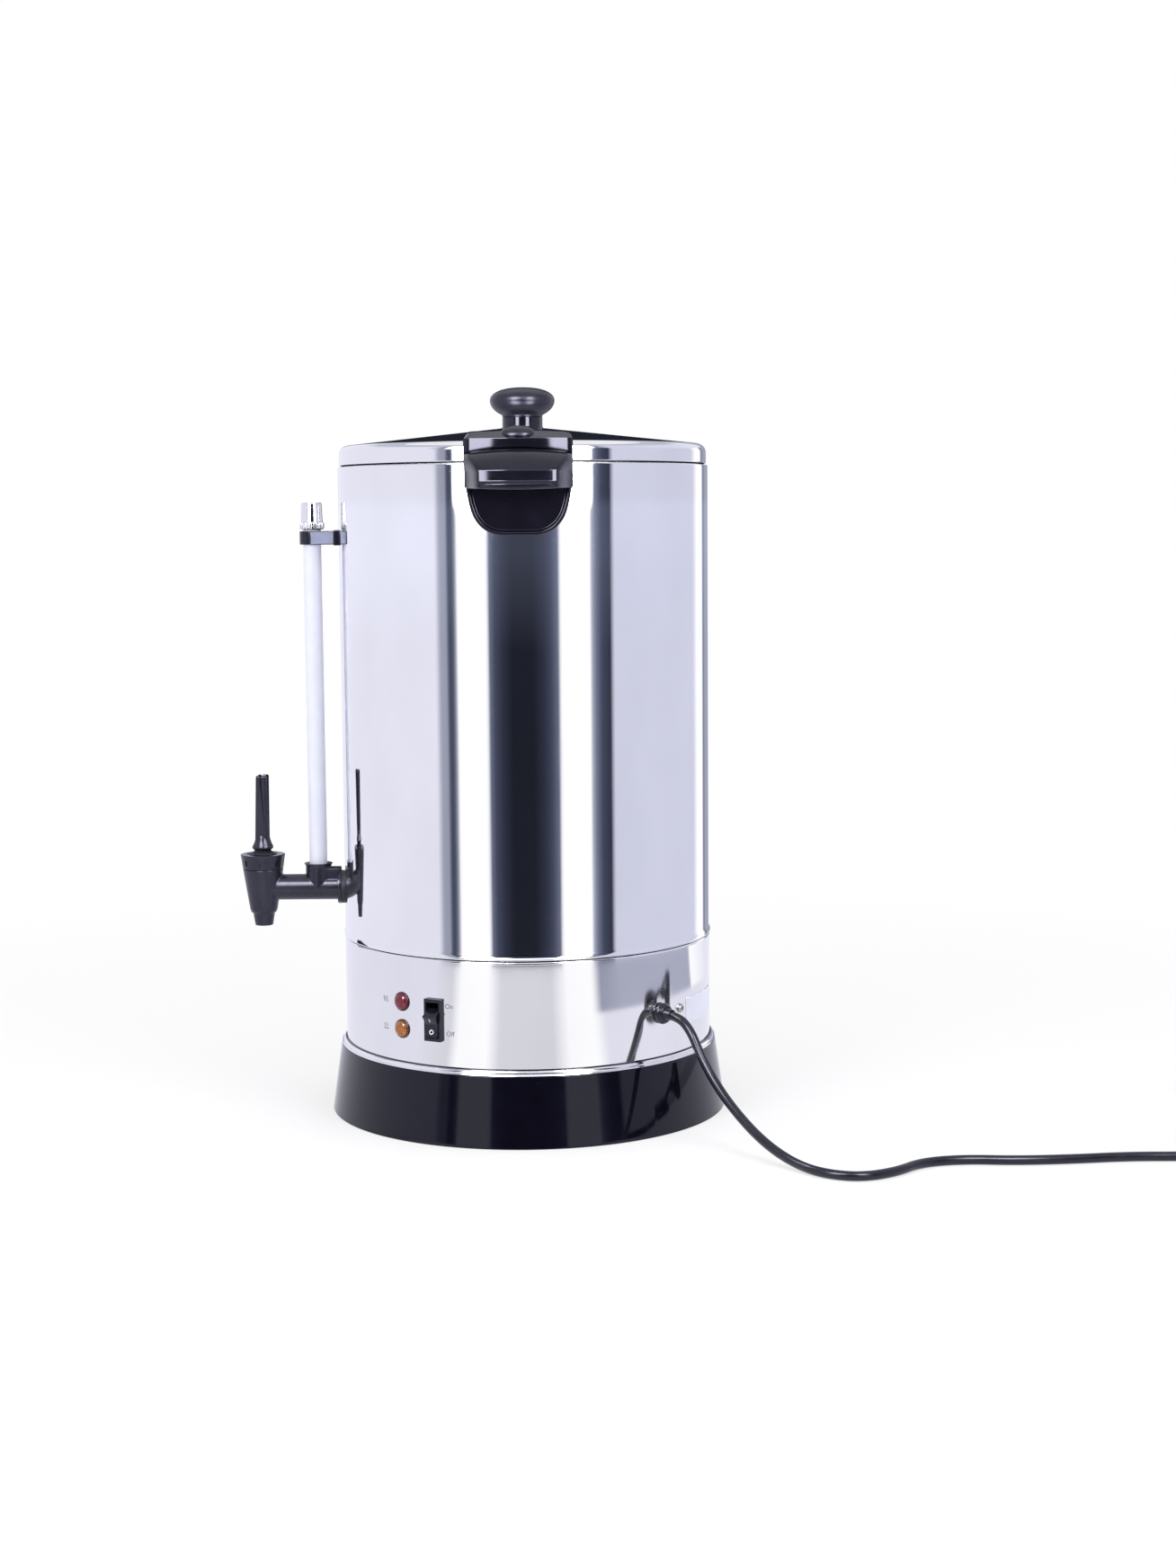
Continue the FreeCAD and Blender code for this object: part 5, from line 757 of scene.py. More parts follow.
# Direction from +X in degrees, then the tone that a shiny surface sees there.
SURROUND = (
    (-162.5, FLAG), (-161.0, LEFT_WALL), (-50.2, LEFT_WALL), (-47.3, FROST),
    (-43.8, FROST), (-42.0, SLATE), (-40.2, SLATE), (-38.3, SMOKE), (-36.4, STRIP),
    (-20.0, STRIP), (-18.6, SMOKE), (-15.5, SLATE), (-11.5, DUSK), (-6.0, FLAG), (6.0, FLAG),
    (12.0, DUSK), (16.0, SLATE), (20.0, SMOKE), (21.4, STRIP), (38.0, STRIP), (39.6, FROST),
    (42.2, SMOKE), (45.2, SLATE), (51.0, DUSK), (52.8, RIGHT_WALL), (122.0, RIGHT_WALL),
    (129.5, STRIP), (137.8, STRIP), (141.2, SMOKE), (146.0, FROST), (164.0, FROST),
    (169.0, FLAG),
)
# The same from above the height of the handles, where a wide soft light faces the urn.
UPPER = (
    (-180.0, FLAG), (-162.5, FLAG), (-161.0, LEFT_WALL), (-56.0, LEFT_WALL), (-44.0, SMOKE),
    (-38.0, BRIGHT), (-12.0, BRIGHT), (-8.0, GLOW), (19.0, GLOW), (21.4, BRIGHT),
    (38.0, BRIGHT), (43.0, SMOKE), (53.5, RIGHT_WALL), (147.0, LEFT_WALL), (169.0, FLAG),
)
NEAR_FLOOR = (
    (-180.0, PAPER), (-60.0, PAPER), (-42.0, DIM_PAPER), (-36.5, STRIP), (-21.0, STRIP),
    (-14.0, DIM_PAPER), (14.0, DIM_PAPER), (22.5, STRIP), (37.0, STRIP), (44.0, PAPER),
    (120.0, PAPER),
)
FAR_FLOOR = (
    (-180.0, PAPER), (-110.0, LEFT_WALL), (-52.0, LEFT_WALL), (-42.0, DIM_PAPER), (-36.5, STRIP),
    (-21.0, STRIP), (-14.0, DIM_PAPER), (14.0, DIM_PAPER), (22.5, STRIP), (37.0, STRIP),
    (42.0, FROST), (55.0, LILAC), (112.0, LILAC), (114.0, STRIP), (140.0, PAPER),
)
CEILING_TONES = ((-180.0, CEILING), (180.0, CEILING))
# Radius of the ring and of the disc, height of the ring, in metres, and their sides.
RING_REACH, RING_HEIGHT, RING_SIDES = 0.85, 1.5, 96


def hazed(tones):
    """The same surround with a thin veil over it."""
    return tuple(
        (direction, tuple(a + b for a, b in zip(tone, HAZE))) for direction, tone in tones
    )


def lit(tones):
    """The same surround with its two front strips at full power."""
    return tuple(
        (direction, BRIGHT if tone == STRIP and abs(direction) < 60 else tone)
        for direction, tone in tones
    )


# From one height to another, in metres, the ring takes on the next tones.
RING_LAYERS = (
    (0.32, 0.42, hazed(SURROUND)), (0.462, 0.474, lit(SURROUND)), (0.66, 0.70, UPPER),
    (1.0, 1.15, CEILING_TONES),
)
# The same for the disc, by the distance from the axis.
DISC_LAYERS = ((0.585, 0.605, FAR_FLOOR),)


def glow_around(name, measure, tones, *layers):
    """A glow whose tone follows the direction from +X. Each layer, (low, high, tones), takes over
    as a measure of the place, its height or its distance from the axis, goes from low to high."""
    material = bpy.data.materials.new(name)
    nodes = Nodes(material)
    material.cycles.emission_sampling = "NONE"
    place = nodes.add("TexCoord", {}).outputs["Object"]
    parts = nodes.add("SeparateXYZ", {0: place}).outputs
    around = nodes.add("Math", {0: parts["Y"], 1: parts["X"]}, operation="ARCTAN2").outputs[0]
    along = nodes.mapped(around, -pi, pi, 0.0, 1.0)
    distance = nodes.add("VectorMath", {0: place}, operation="LENGTH").outputs["Value"]
    measured = parts["Z"] if measure == "height" else distance

    def ramp_of(tones):
        ramp = nodes.add("ValToRGB", {"Fac": along})
        stops = ramp.color_ramp.elements
        while len(stops) < len(tones):
            stops.new(1.0)
        for stop, (direction, tone) in zip(stops, tones):
            stop.position = (direction + 180.0) / 360.0
            stop.color = tone + (1.0,)
        return ramp.outputs["Color"]

    tone = ramp_of(tones)
    for low, high, others in layers:
        step = nodes.mapped(measured, low, high, 0.0, 1.0)
        tone = nodes.mixed(step, tone, ramp_of(others))
    nodes.show(nodes.add("Emission", {"Color": tone}))
    return material


def only_in_gloss(piece, material):
    """Makes a piece of the stage that only shiny surfaces see."""
    applied(piece)
    piece.data.materials.append(material)
    piece.visible_camera = False
    piece.visible_diffuse = False
    piece.visible_shadow = False
    piece.visible_transmission = False


def make_surround():
    """A ring around the urn and a disc under it, which only shiny surfaces see."""
    rest()
    bpy.ops.mesh.primitive_circle_add(
        vertices=RING_SIDES, radius=RING_REACH, location=(0, 0, -0.01)
    )
    ring = edit(named("studio_ring"))
    everything()
    bpy.ops.mesh.extrude_edges_move(TRANSFORM_OT_translate={"value": (0, 0, RING_HEIGHT)})
    only_in_gloss(done(ring), glow_around("studio_greys", "height", SURROUND, *RING_LAYERS))
    rest()
    bpy.ops.mesh.primitive_circle_add(
        vertices=RING_SIDES, radius=RING_REACH, fill_type="NGON", location=(0, 0, 0.0008)
    )
    greys = glow_around("floor_greys", "distance", NEAR_FLOOR, *DISC_LAYERS)
    only_in_gloss(named("studio_floor"), greys)


def add_light(name, place, aim, width, height, power):
    """A soft area light that shiny surfaces don't show, since the ring stands for it there."""
    rest()
    bpy.ops.object.light_add(type="AREA", location=place)
    lamp = named(name)
    lamp.data.shape = "RECTANGLE"
    lamp.data.size = width
    lamp.data.size_y = height
    lamp.data.energy = power
    lamp.rotation_euler = (Vector(aim) - Vector(place)).to_track_quat("-Z", "Y").to_euler()
    lamp.visible_glossy = False


class URN_OT_stage(bpy.types.Operator):
    """Set up the camera, the pale floor, the surround and the soft lights"""

    bl_idname = "urn.stage"
    bl_label = "Stage"

    def execute(self, context):
        look_from_photo_side()
        context.scene.view_settings.view_transform = "Standard"
        light_world()
        make_floor()
        make_surround()
        for light in LIGHTS:
            add_light(*light)
        return {"FINISHED"}


# The power cord.

# The route of the cord out of the gland and over the floor, in metres, as the CAD has it.
CORD_ROUTE = (
    (0.1008, 0.1015, 0.0885), (0.1110, 0.1117, 0.0884), (0.1214, 0.1202, 0.0804),
    (0.1300, 0.1268, 0.0640), (0.1446, 0.1380, 0.0440), (0.1640, 0.1526, 0.0266),
    (0.1870, 0.1696, 0.0124), (0.2110, 0.1876, 0.0046), (0.2340, 0.2046, 0.0035),
    (0.2450, 0.2300, 0.0035), (0.2320, 0.2564, 0.0035), (0.2084, 0.2766, 0.0035),
    (0.2006, 0.3074, 0.0035), (0.2050, 0.3430, 0.0035), (0.2026, 0.3830, 0.0035),
    (0.1966, 0.4240, 0.0035), (0.1984, 0.4660, 0.0036), (0.1990, 0.5000, 0.0044),
)
TAIL_ROUTE = (
    (0.1254, 0.5528, 0.0120), (0.1120, 0.5444, 0.0146), (0.0994, 0.5398, 0.0176),
    (0.0860, 0.5390, 0.0185),
)
COIL_MIDDLE = Vector((0.1555, 0.5200, 0.0))
# The tie's place on the coil, in millimetres.
TIE_PLACE = (115.5, 520.0, 0.0)
# Turns so far, then the radius and the height that the cord has there, in millimetres.
COIL_STEPS = (
    (0.00, 43.4, 4.4), (0.84, 43.4, 4.4), (1.00, 36.6, 4.4), (1.80, 36.6, 4.4),
    (2.00, 36.6, 11.2), (2.66, 36.6, 11.2), (2.90, 43.4, 11.2), (3.33, 43.4, 11.2),
)
POINTS_PER_TURN = 14
# A spline of order 3 runs inside its points, at this share of their radius.
INSIDE = 0.975


def coil_points():
    """Points of the coil's turns, side by side and in two layers."""
    points = []
    for index in range(int(COIL_STEPS[-1][0] * POINTS_PER_TURN) + 1):
        turns = index / POINTS_PER_TURN
        for (a, ra, za), (b, rb, zb) in zip(COIL_STEPS, COIL_STEPS[1:]):
            if a <= turns <= b:
                part = (turns - a) / (b - a)
                part = part * part * (3 - 2 * part)
                radius, height = ra + (rb - ra) * part, za + (zb - za) * part
        angle = 2 * pi * turns
        reach = radius / INSIDE * MM
        points.append(COIL_MIDDLE + Vector((reach * cos(angle), reach * sin(angle), height * MM)))
    return points


class URN_OT_cord(bpy.types.Operator):
    """Lay the power cord from the gland over the floor to its coil and plug"""

    bl_idname = "urn.cord"
    bl_label = "Power cord"

    def execute(self, context):
        rest()
        curve = bpy.data.curves.new("mains_cord", "CURVE")
        curve.dimensions = "3D"
        curve.resolution_u = 10
        curve.bevel_depth = panel().cord_radius
        curve.bevel_resolution = 5
        curve.use_fill_caps = True
        spline = curve.splines.new("NURBS")
        points = [*CORD_ROUTE, *coil_points(), *TAIL_ROUTE]
        spline.points.add(len(points) - 1)
        for point, place in zip(spline.points, points):
            point.co = (*place, 1.0)
        spline.order_u = 3
        spline.use_endpoint_u = True
        cord = bpy.data.objects.new("mains_cord", curve)
        context.scene.collection.objects.link(cord)
        curve.materials.append(FINISHES["cord_black"])
        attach(cord, "root")
        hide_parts("power_cord", "cord_coil", "cord_tail")
        plug, pins, tie = self.plug(), self.pins(), self.tie()
        return {"FINISHED"}

    def lying(self, piece):
        """Lays a piece of the plug, built along +Z from its cord end, on the floor along -X."""
        return put(piece, Matrix.Translation(TAIL_ROUTE[-1]) @ Matrix.Rotation(-pi / 2, 4, "Y"))

    def plug(self):
        """The plug: ribbed strain relief, grip and round front."""
        outline = [(0, 0), (3.45, 0), (5.0, 0, 0.5)]
        for rib in range(5):
            low, wide = 2.0 + rib * 4.2, 5.1 + rib * 0.75
            outline += [
                (wide, low), (wide, low + 2.4), (wide - 0.9, low + 2.9), (wide - 0.9, low + 3.7),
            ]
        outline += [
            (9.4, 24.0), (12.0, 28.0), (13.2, 34.0), (15.4, 40.5), (18.5, 44.0, 2.0),
            (18.5, 66.0), (18.5, 72.0, 2.2), (0, 72.0),
        ]
        plug = self.lying(turned("plug", outline, 72))
        return settle(plug, "root", "cord_black", "plug_body", smooth=40)

    def pins(self):
        """The plug's two round pins."""
        outline = [(0, 71.0), (2.4, 71.0), (2.4, 88.6), (2.4, 91.0, 1.6), (0, 91.0)]
        pair = [moved(turned("plug_pin", outline, 32), y=side * 9.5) for side in (-1, 1)]
        pins = self.lying(joined("pins", *pair))
        return settle(pins, "root", "brass", "plug_pins", finish="chrome")

    def tie(self):
        """The soft tie round the coil's four strands."""
        tie = edit(block("coil_tie", (-7.4, -3.0, 1.1), (7.4, 3.0, 15.2)))
        choose(tie, lambda p, n: abs(n.y) > 0.9, "FACE")
        bpy.ops.mesh.delete(type="FACE")
        rounded(done(tie), 3.2, 5)
        modified(tie, "SOLIDIFY", thickness=0.9 * MM, offset=1.0)
        rounded(tie, 0.2, 2)
        moved(tie, *TIE_PLACE)
        return settle(tie, "root", "cord_black", "cord_tie", finish="black_rubber")


# The casing.


class URN_OT_shell(bpy.types.Operator):
    """Turn the polished upper shell"""

    bl_idname = "urn.shell"
    bl_label = "Upper shell"

    def execute(self, context):
        radius, wall, top, seat = mm("body", "body_radius", "shell_wall", "shell_top", "band_top")
        bead, foot = seat + 0.1, seat - 8.0
        outline = [
            (radius - 4.7, foot), (radius - 4.0, foot), (radius - 4.0, bead),
            (radius + 1.3, bead, 0.3), *arc((radius + 1.3, bead + 0.7), (radius, bead + 4.8), 0.4),
            (radius, bead + 5.6), (radius, top - 1.8), (radius, top - 1.2), (radius, top, 0.9),
            (radius - 1.2, top), (radius - 7, top), (radius - 7, top - wall),
            (radius - wall, top - wall), (radius - wall, bead + 1.0), (radius - 4.7, bead + 0.8),
        ]
        shell = turned("upper_shell", outline, CASING_STEPS, closed=True)
        settle(shell, "root", "polished_steel", "outer_shell")
        return {"FINISHED"}


class URN_OT_band(bpy.types.Operator):
    """Turn the brushed lower band and the bright ring under it"""

    bl_idname = "urn.band"
    bl_label = "Lower band"

    def execute(self, context):
        names = ("band_radius", "band_top", "base_height", "base_neck")
        radius, top, foot, neck = mm("body", *names)
        outline = [
            (radius - 0.6, foot), (radius, foot), (radius, foot + 0.6), (radius, top - 2.9),
            *arc((radius, top - 2.3), (radius - 0.7, top - 0.9), -0.25, 5),
            (radius - 1.2, top - 0.9),
        ]
        band = turned("control_band", outline, CASING_STEPS, closed=True)
        places = panel()
        window = block("window", (-5.9, -13.0, -8.0), (5.9, 13.0, 8.0))
        holes = [on_band(window, places.switch_angle, places.switch_height)]
        for angle, height, wide in (
            (places.gland_angle, places.gland_height, 7.0),
            (places.earth_angle, places.earth_height, 2.3),
        ):
            hole = turned("hole", [(0, -8), (wide, -8), (wide, 8), (0, 8)], 32)
            holes.append(on_band(hole, angle, height))
        settle(carved(band, *holes), "root", "brushed_steel", "lower_band")
        outline = [
            (radius + 1.1, foot), (neck - 0.3, foot), (neck, foot + 0.3, 0.2),
            (neck - 0.5, foot + 1.1, 0.2), (neck - 1.2, foot + 1.1, 0.1),
            *arc((neck - 1.2, foot + 1.4), (radius + 1.3, foot + 3.7), -0.5),
            (radius + 1.1, foot + 3.7),
        ]
        ring = turned("bright_ring", outline, CASING_STEPS, closed=True)
        settle(ring, "root", "polished_steel", "trim_ring", finish="chrome")
        return {"FINISHED"}


class URN_OT_base(bpy.types.Operator):
    """Turn the glossy black base skirt"""

    bl_idname = "urn.base"
    bl_label = "Base skirt"

    def execute(self, context):
        neck, foot, top, lip = mm("body", "base_neck", "base_foot", "base_height", "band_radius")
        slope, lip = (foot - neck) / top, lip + 0.1
        outline = [
            (foot - 3, 0), (foot, 0, 0.8), (foot - slope * 3, 3), (neck + slope * 2, top - 2),
            (neck, top, 0.7), (neck - 2, top), (lip + 0.9, top), (lip + 0.9, top + 4.4, 0.3),
            (lip, top + 4.4), (lip, top), (128, top), (128, top - 3), (neck - 3, top - 3),
        ]
        base = turned("base_casing", outline, CASING_STEPS, closed=True)
        settle(base, "root", "black_gloss", "base_skirt")
        return {"FINISHED"}


# The lid.


class URN_OT_lid(bpy.types.Operator):
    """Turn the lid with its upright skirt and shallow cone"""

    bl_idname = "urn.lid"
    bl_label = "Lid"

    def execute(self, context):
        radius, crown, foot = mm("body", "lid_radius", "lid_crown", "shell_top")
        foot += 0.2
        curl, rim, edge = foot + 1.1, radius - 5.9, foot + 15.75
        outline = [
            (radius - 2.6, curl), (radius - 2.6, foot + 0.1), (radius - 1.7, foot + 0.1),
            (radius - 1.7, curl), (radius - 0.4, curl), (radius, curl + 0.5, 0.3),
            (radius, curl + 1.1), (radius, edge - 6.8),
            *arc((radius, edge - 6.2), (rim, edge), -1.6, 10), (rim - 1.0, edge + 0.11),
            (17.0, crown - 0.1), (15.0, crown), (2.6, crown), (2.6, crown - 0.8),
            (16.0, crown - 0.8), (rim, edge - 0.8), (radius - 2.0, edge - 2.8),
            (radius - 0.8, edge - 6.0), (radius - 0.8, curl + 0.7), (radius - 2.6, curl + 0.7),
        ]
        lid = turned("lid_cover", outline, CASING_STEPS, closed=True)
        settle(lid, "lid", "polished_steel", "lid_shell")
        # The lid's faces below its curl get a near-black finish that stands in for the shadow in the
        # gap over the shell: painted shadow.
        dressed(lid, "dark_joint", lambda p, n: p.z < curl + 0.05)
        return {"FINISHED"}


class URN_OT_knob(bpy.types.Operator):
    """Turn the knob and the ring under it"""

    bl_idname = "urn.knob"
    bl_label = "Knob"

    def execute(self, context):
        crown, wide, ring = mm("body", "lid_crown", "knob_radius", "collar_radius")
        outline = [
            (2.6, 0), (ring + 0.5, 0), (ring + 0.5, 0.4), (ring, 1.2, 0.4), (ring, 7.4),
            (ring, 8.3, 0.4), (2.6, 8.3),
        ]
        collar = moved(turned("knob_ring", outline, closed=True), z=crown)
        settle(collar, "lid", "black_satin", "knob_collar")
        middle, low, high = 12.4, 13.7, 10.0
        under = [radians(degree) for degree in range(-62, 0, 6)]
        over = [radians(degree) for degree in range(0, 90, 6)]
        outline = [
            (0, 0.1), (ring - 0.7, 0.1), (ring - 0.5, 0.3),
            *[(max(ring, wide * cos(a)), middle + low * sin(a)) for a in under],
            *[(wide * cos(a) ** 0.87, middle + 0.25 + (high - 0.25) * sin(a) ** 0.94) for a in over],
            (0, middle + high),
        ]
        knob = moved(turned("knob", outline), z=crown + 8.3)
        settle(knob, "lid", "black_satin", "lid_knob", smooth=40, finish="knob_plastic")
        return {"FINISHED"}


# How far a button's middle lies behind the front of its catch and under the catch's top.
BUTTON_BACK, BUTTON_SINK = 9.5, 2.6


class URN_OT_catches(bpy.types.Operator):
    """Model the two lid catches with their domed buttons"""

    bl_idname = "urn.catches"
    bl_label = "Lid catches"

    def execute(self, context):
        catch = joined("right_lid_catch", self.block_of_catch(), self.button())
        other = copied(catch, "left_lid_catch", Matrix.Rotation(pi, 4, "Z"))
        settle(catch, "lid", "black_satin", "right_catch", smooth=40)
        settle(other, "lid", "black_satin", "left_catch", smooth=40)
        front, top = mm("handles", "catch_front", "catch_top")

        def on_button(p, n):
            down = 0.38 * (abs(p.x) - front + 15.5)
            aside = (abs(p.x) - front + BUTTON_BACK) ** 2 + p.y ** 2
            return p.z > top - down + 0.9 and aside < 150

        for piece in (catch, other):
            dressed(piece, "knob_plastic", on_button)
        return {"FINISHED"}

    def block_of_catch(self):
        """The block: rounded ends, sloping top, bowed front and an arched lower edge."""
        half, front, top = mm("handles", "half_width", "catch_front", "catch_top")
        back, rim, foot, brow = front - 38.0, mm("body", "lid_radius") + 0.3, 500.8, top - 6.0
        corner = 5.0

        def spot(x, y, z):
            end = max(0.0, abs(y) - (half - corner)) / corner
            if z > brow + 0.3:
                z = brow + 0.3 + (z - brow - 0.3) * sqrt(max(0.0, 1 - end * end))
                z -= 0.9 * (y / half) ** 2
            if z < foot + 1.5:
                z -= 3.9 * (y / half) ** 2
            if x > rim + 2:
                x -= y * y / 200.0 + 0.8 * end * end
            elif x > rim - 6:
                x -= y * y / (2 * rim)
            return x, y, z

        outline = [
            (back, 507.9), (back, top - 1.2), (back + 1.2, top),
            *arc((front - 15.5, top), (front - 0.9, brow + 0.4), 0.7),
            (front - 0.2, brow), (front, brow - 0.6), (front, foot + 1.4),
            (front - 0.3, foot + 0.5), (front - 1.1, foot), (rim, foot), (rim, 502.0),
            (rim - 5.0, 507.2),
        ]
        ends = [half - corner + corner * part for part in (0.3, 0.55, 0.75, 0.9, 1.0)]
        places = both_sides([8.0, 16.0, 24.0, 30.0, half - corner, *ends])
        return rounded(lofted("right_lid_catch", outline, places, spot), 0.7, 3, 38)

    def button(self):
        """The domed button, tipped forwards on the slope."""
        radius, front, top = mm("handles", "button_radius", "catch_front", "catch_top")
        wide = radius + 0.4
        lift = [radians(degree) for degree in range(4, 90, 7)]
        dome = [(wide * cos(a), 5.2 * sin(a)) for a in lift]
        outline = [(0, -1.5), (wide, -1.5), (wide, 0), *dome, (0, 5.2)]
        lean = Matrix.Rotation(radians(15.0), 4, "Y") @ Matrix.Diagonal((0.74, 1.0, 1.0, 1.0))
        place = Matrix.Translation(((front - BUTTON_BACK) * MM, 0, (top - BUTTON_SINK) * MM))
        return put(turned("catch_button", outline, 64), place @ lean)


class URN_OT_handles(bpy.types.Operator):
    """Model the two side handles"""

    bl_idname = "urn.handles"
    bl_label = "Side handles"

    def execute(self, context):
        handle = joined("right_side_handle", self.grip(), self.back_plate())
        other = copied(handle, "left_side_handle", Matrix.Rotation(pi, 4, "Z"))
        settle(handle, "root", "black_satin", "right_handle", smooth=40)
        settle(other, "root", "black_satin", "left_handle", smooth=40)
        return {"FINISHED"}

    def grip(self):
        """The hollow grip: arched top, sloping shoulder, bowed nose that flares into the sides,
        and a rounded lip along its whole lower edge."""
        names = ("half_width", "nose_half", "front", "top", "lip")
        half, nose, front, top, lip = mm("handles", *names)
        crease = top - 15.0
        shoulder, back, flare, ends = front - 18.0, 135.0, nose - 1.0, 149.5

        def reach(y):
            bow = min(abs(y), flare) ** 2 / 225.0
            part = max(0.0, abs(y) - flare) / (half - flare)
            part = part * part * (3 - 2 * part)
            return (front - bow) * (1 - part) + ends * part

        def spot(x, y, z):
            across = (y / half) ** 2
            now = reach(y * (1.0 - 0.17 * min(1.0, max(0.0, (z - crease + 2.0) / 13.0))))
            edge = shoulder - 0.58 * (front - now)
            if z > crease - 1.4:
                z -= 3.6 * across * min(1.0, (z - crease + 1.4) / 12.0)
            elif z < lip + 3.0:
                z += 1.8 * across
            if x > shoulder - 6.0 and z > crease - 0.9:
                part = (x - shoulder) / (front - shoulder)
                x = edge + part * (now - edge)
            elif x > shoulder - 6.0:
                x += now - front
            return x, y, z

        outline = [
            (back, top), (shoulder - 5.0, top),
            *arc((shoulder, top), (front - 0.4, crease), 2.1, 10),
            (front, crease - 1.0), (front + 0.1, lip + 5.6),
            *arc((front + 0.6, lip + 4.6), (front - 1.2, lip - 1.0), 2.1, 8),
            (front - 2.6, lip - 0.6), (front - 3.4, lip + 1.5), (front - 3.4, crease - 2.0),
            (front - 9.0, top - 9.0), (shoulder, top - 3.2), (back, top - 3.2),
        ]
        parts = (0.12, 0.24, 0.36, 0.48, 0.6, 0.72, 0.84, 0.93, 1.0)
        sides = [flare + (half - flare) * part for part in parts]
        places = both_sides([7.0, 14.0, 20.0, 24.0, flare, *sides])
        return rounded(lofted("grip", outline, places, spot), 0.5, 3, 50)

    def back_plate(self):
        """The back plate with its raised rim, a U seen from the front."""
        half, foot, lip = mm("handles", "half_width", "plate_foot", "lip")
        foot -= 1.0
        wide = half - 0.6
        side = [
            (19.5, foot, 7.5), (30.4, foot + 9.0, 5.5), (34.8, foot + 20.0, 4.5), (wide, lip + 2.0),
        ]
        mirrored = [(-y, *more) for y, *more in reversed(side)]
        corners = mirrored + side + [(wide, 493.0), (-wide, 493.0)]
        plate = edit(slab("plate", corners, 0, 135.0, 12.4))
        choose(plate, lambda p, n: n.x > 0.9, "FACE")
        bpy.ops.mesh.inset(thickness=3.0 * MM, depth=0)
        pushed(0, -2.9)
        return rounded(done(plate), 1.3, 5, 35)


# The tap.


class URN_OT_tap(bpy.types.Operator):
    """Model the tap's body, its bonnet and its gaskets"""

    bl_idname = "urn.tap"
    bl_label = "Tap"

    def execute(self, context):
        names = ("reach", "arm_height", "arm_radius", "head_radius", "gauge_reach")
        reach, height, arm, head, gauge = mm("tap", *names)
        foot, top = height - 19.4, height + 14.6

        def along_arm(piece, y):
            place = Matrix.Translation((0, y * MM, height * MM))
            return put(piece, place @ Matrix.Rotation(-pi / 2, 4, "X"))

        outline = [
            (0, foot - 4), (4.6, foot - 10), (6.9, foot - 10), (8.5, foot), (9.6, foot),
            (10.6, foot + 2.6), (head, top), (0, top),
        ]
        cone = moved(turned("cone", outline), y=-reach)
        outline = [(0, 0), (arm, 0), (arm, reach - 145), (0, reach - 145)]
        bar = along_arm(turned("bar", outline, 64), -reach)
        outline = [
            (0, height), (9.8, height), (9.8, height + 16.6), (11.1, height + 18.6),
            (6.9, height + 18.6), (6.9, height + 13.1), (0, height + 13.1),
        ]
        socket = moved(turned("socket", outline, 64), y=-gauge)
        rib = block("rib", (-7.35, -gauge, height), (7.35, -144.0, height + 15))
        body = moulded(joined("tap_moulding", cone, bar, socket, rib), 0.42, 7)
        outline = [(0, foot - 12), (4.6, foot - 12), (4.6, foot - 1), (0, foot + 1)]
        carved(body, moved(turned("bore", outline, 48), y=-reach))
        outline = [(0, 0), (12.5, 0), (12.9, 0.4), (12.9, 2.6), (12.5, 3), (0, 3)]
        body = joined("tap_moulding", body, along_arm(turned("flange", outline), -146))
        settle(body, "root", "tap_plastic", "tap_body", smooth=50)
        outline = [(8.7, 0), (12.4, 0), (12.7, 0.4), (12.7, 3.2), (8.7, 3.2)]
        gasket = along_arm(turned("tap_gasket", outline, closed=True), -143)
        settle(gasket, "root", "black_rubber", "outer_gasket")
        self.bonnet(top, head, reach)
        return {"FINISHED"}

    def bonnet(self, top, head, reach):
        """The slotted bonnet and the rubber ring on it."""
        outline = [
            (12.3, 0.1), (head - 0.4, 0.1), (head, 0.5), (head + 0.4, 3.0), (head + 1.0, 7.6),
            (head + 1.55, 10.9), (head + 1.2, 11.4, 0.3), (12.4, 11.4), (11.8, 10.9), (8.2, 10.9),
            (7.8, 11.4), (2.8, 11.4), (2.8, 7.3), (12.3, 7.3),
        ]
        bonnet = edit(turned("bonnet", outline, closed=True))

        def in_slot(p, n):
            way = degrees(atan2(p.y, p.x)) % 45.0
            return 3.0 < p.z < 7.6 and (way < 3.8 or way > 41.2) and (n.x * p.x + n.y * p.y) > 8

        choose(bonnet, in_slot, "FACE")
        swollen(-0.9)
        moved(done(bonnet), 0, -reach, top)
        settle(bonnet, "root", "tap_plastic", "tap_bonnet")
        outline = [
            (2.8, 0.0), (10.6, 0.0), (10.9, 0.3, 0.1), (10.6, 0.6), (7.9, 0.8), (8.2, 1.3),
            (7.9, 1.6), (6.5, 1.8), (6.8, 2.3), (6.5, 2.6), (5.4, 2.8), (2.8, 2.9),
        ]
        boot = moved(turned("boot", outline, 64, closed=True), 0, -reach, top + 11.4)
        settle(boot, "root", "black_rubber", "stem_boot")


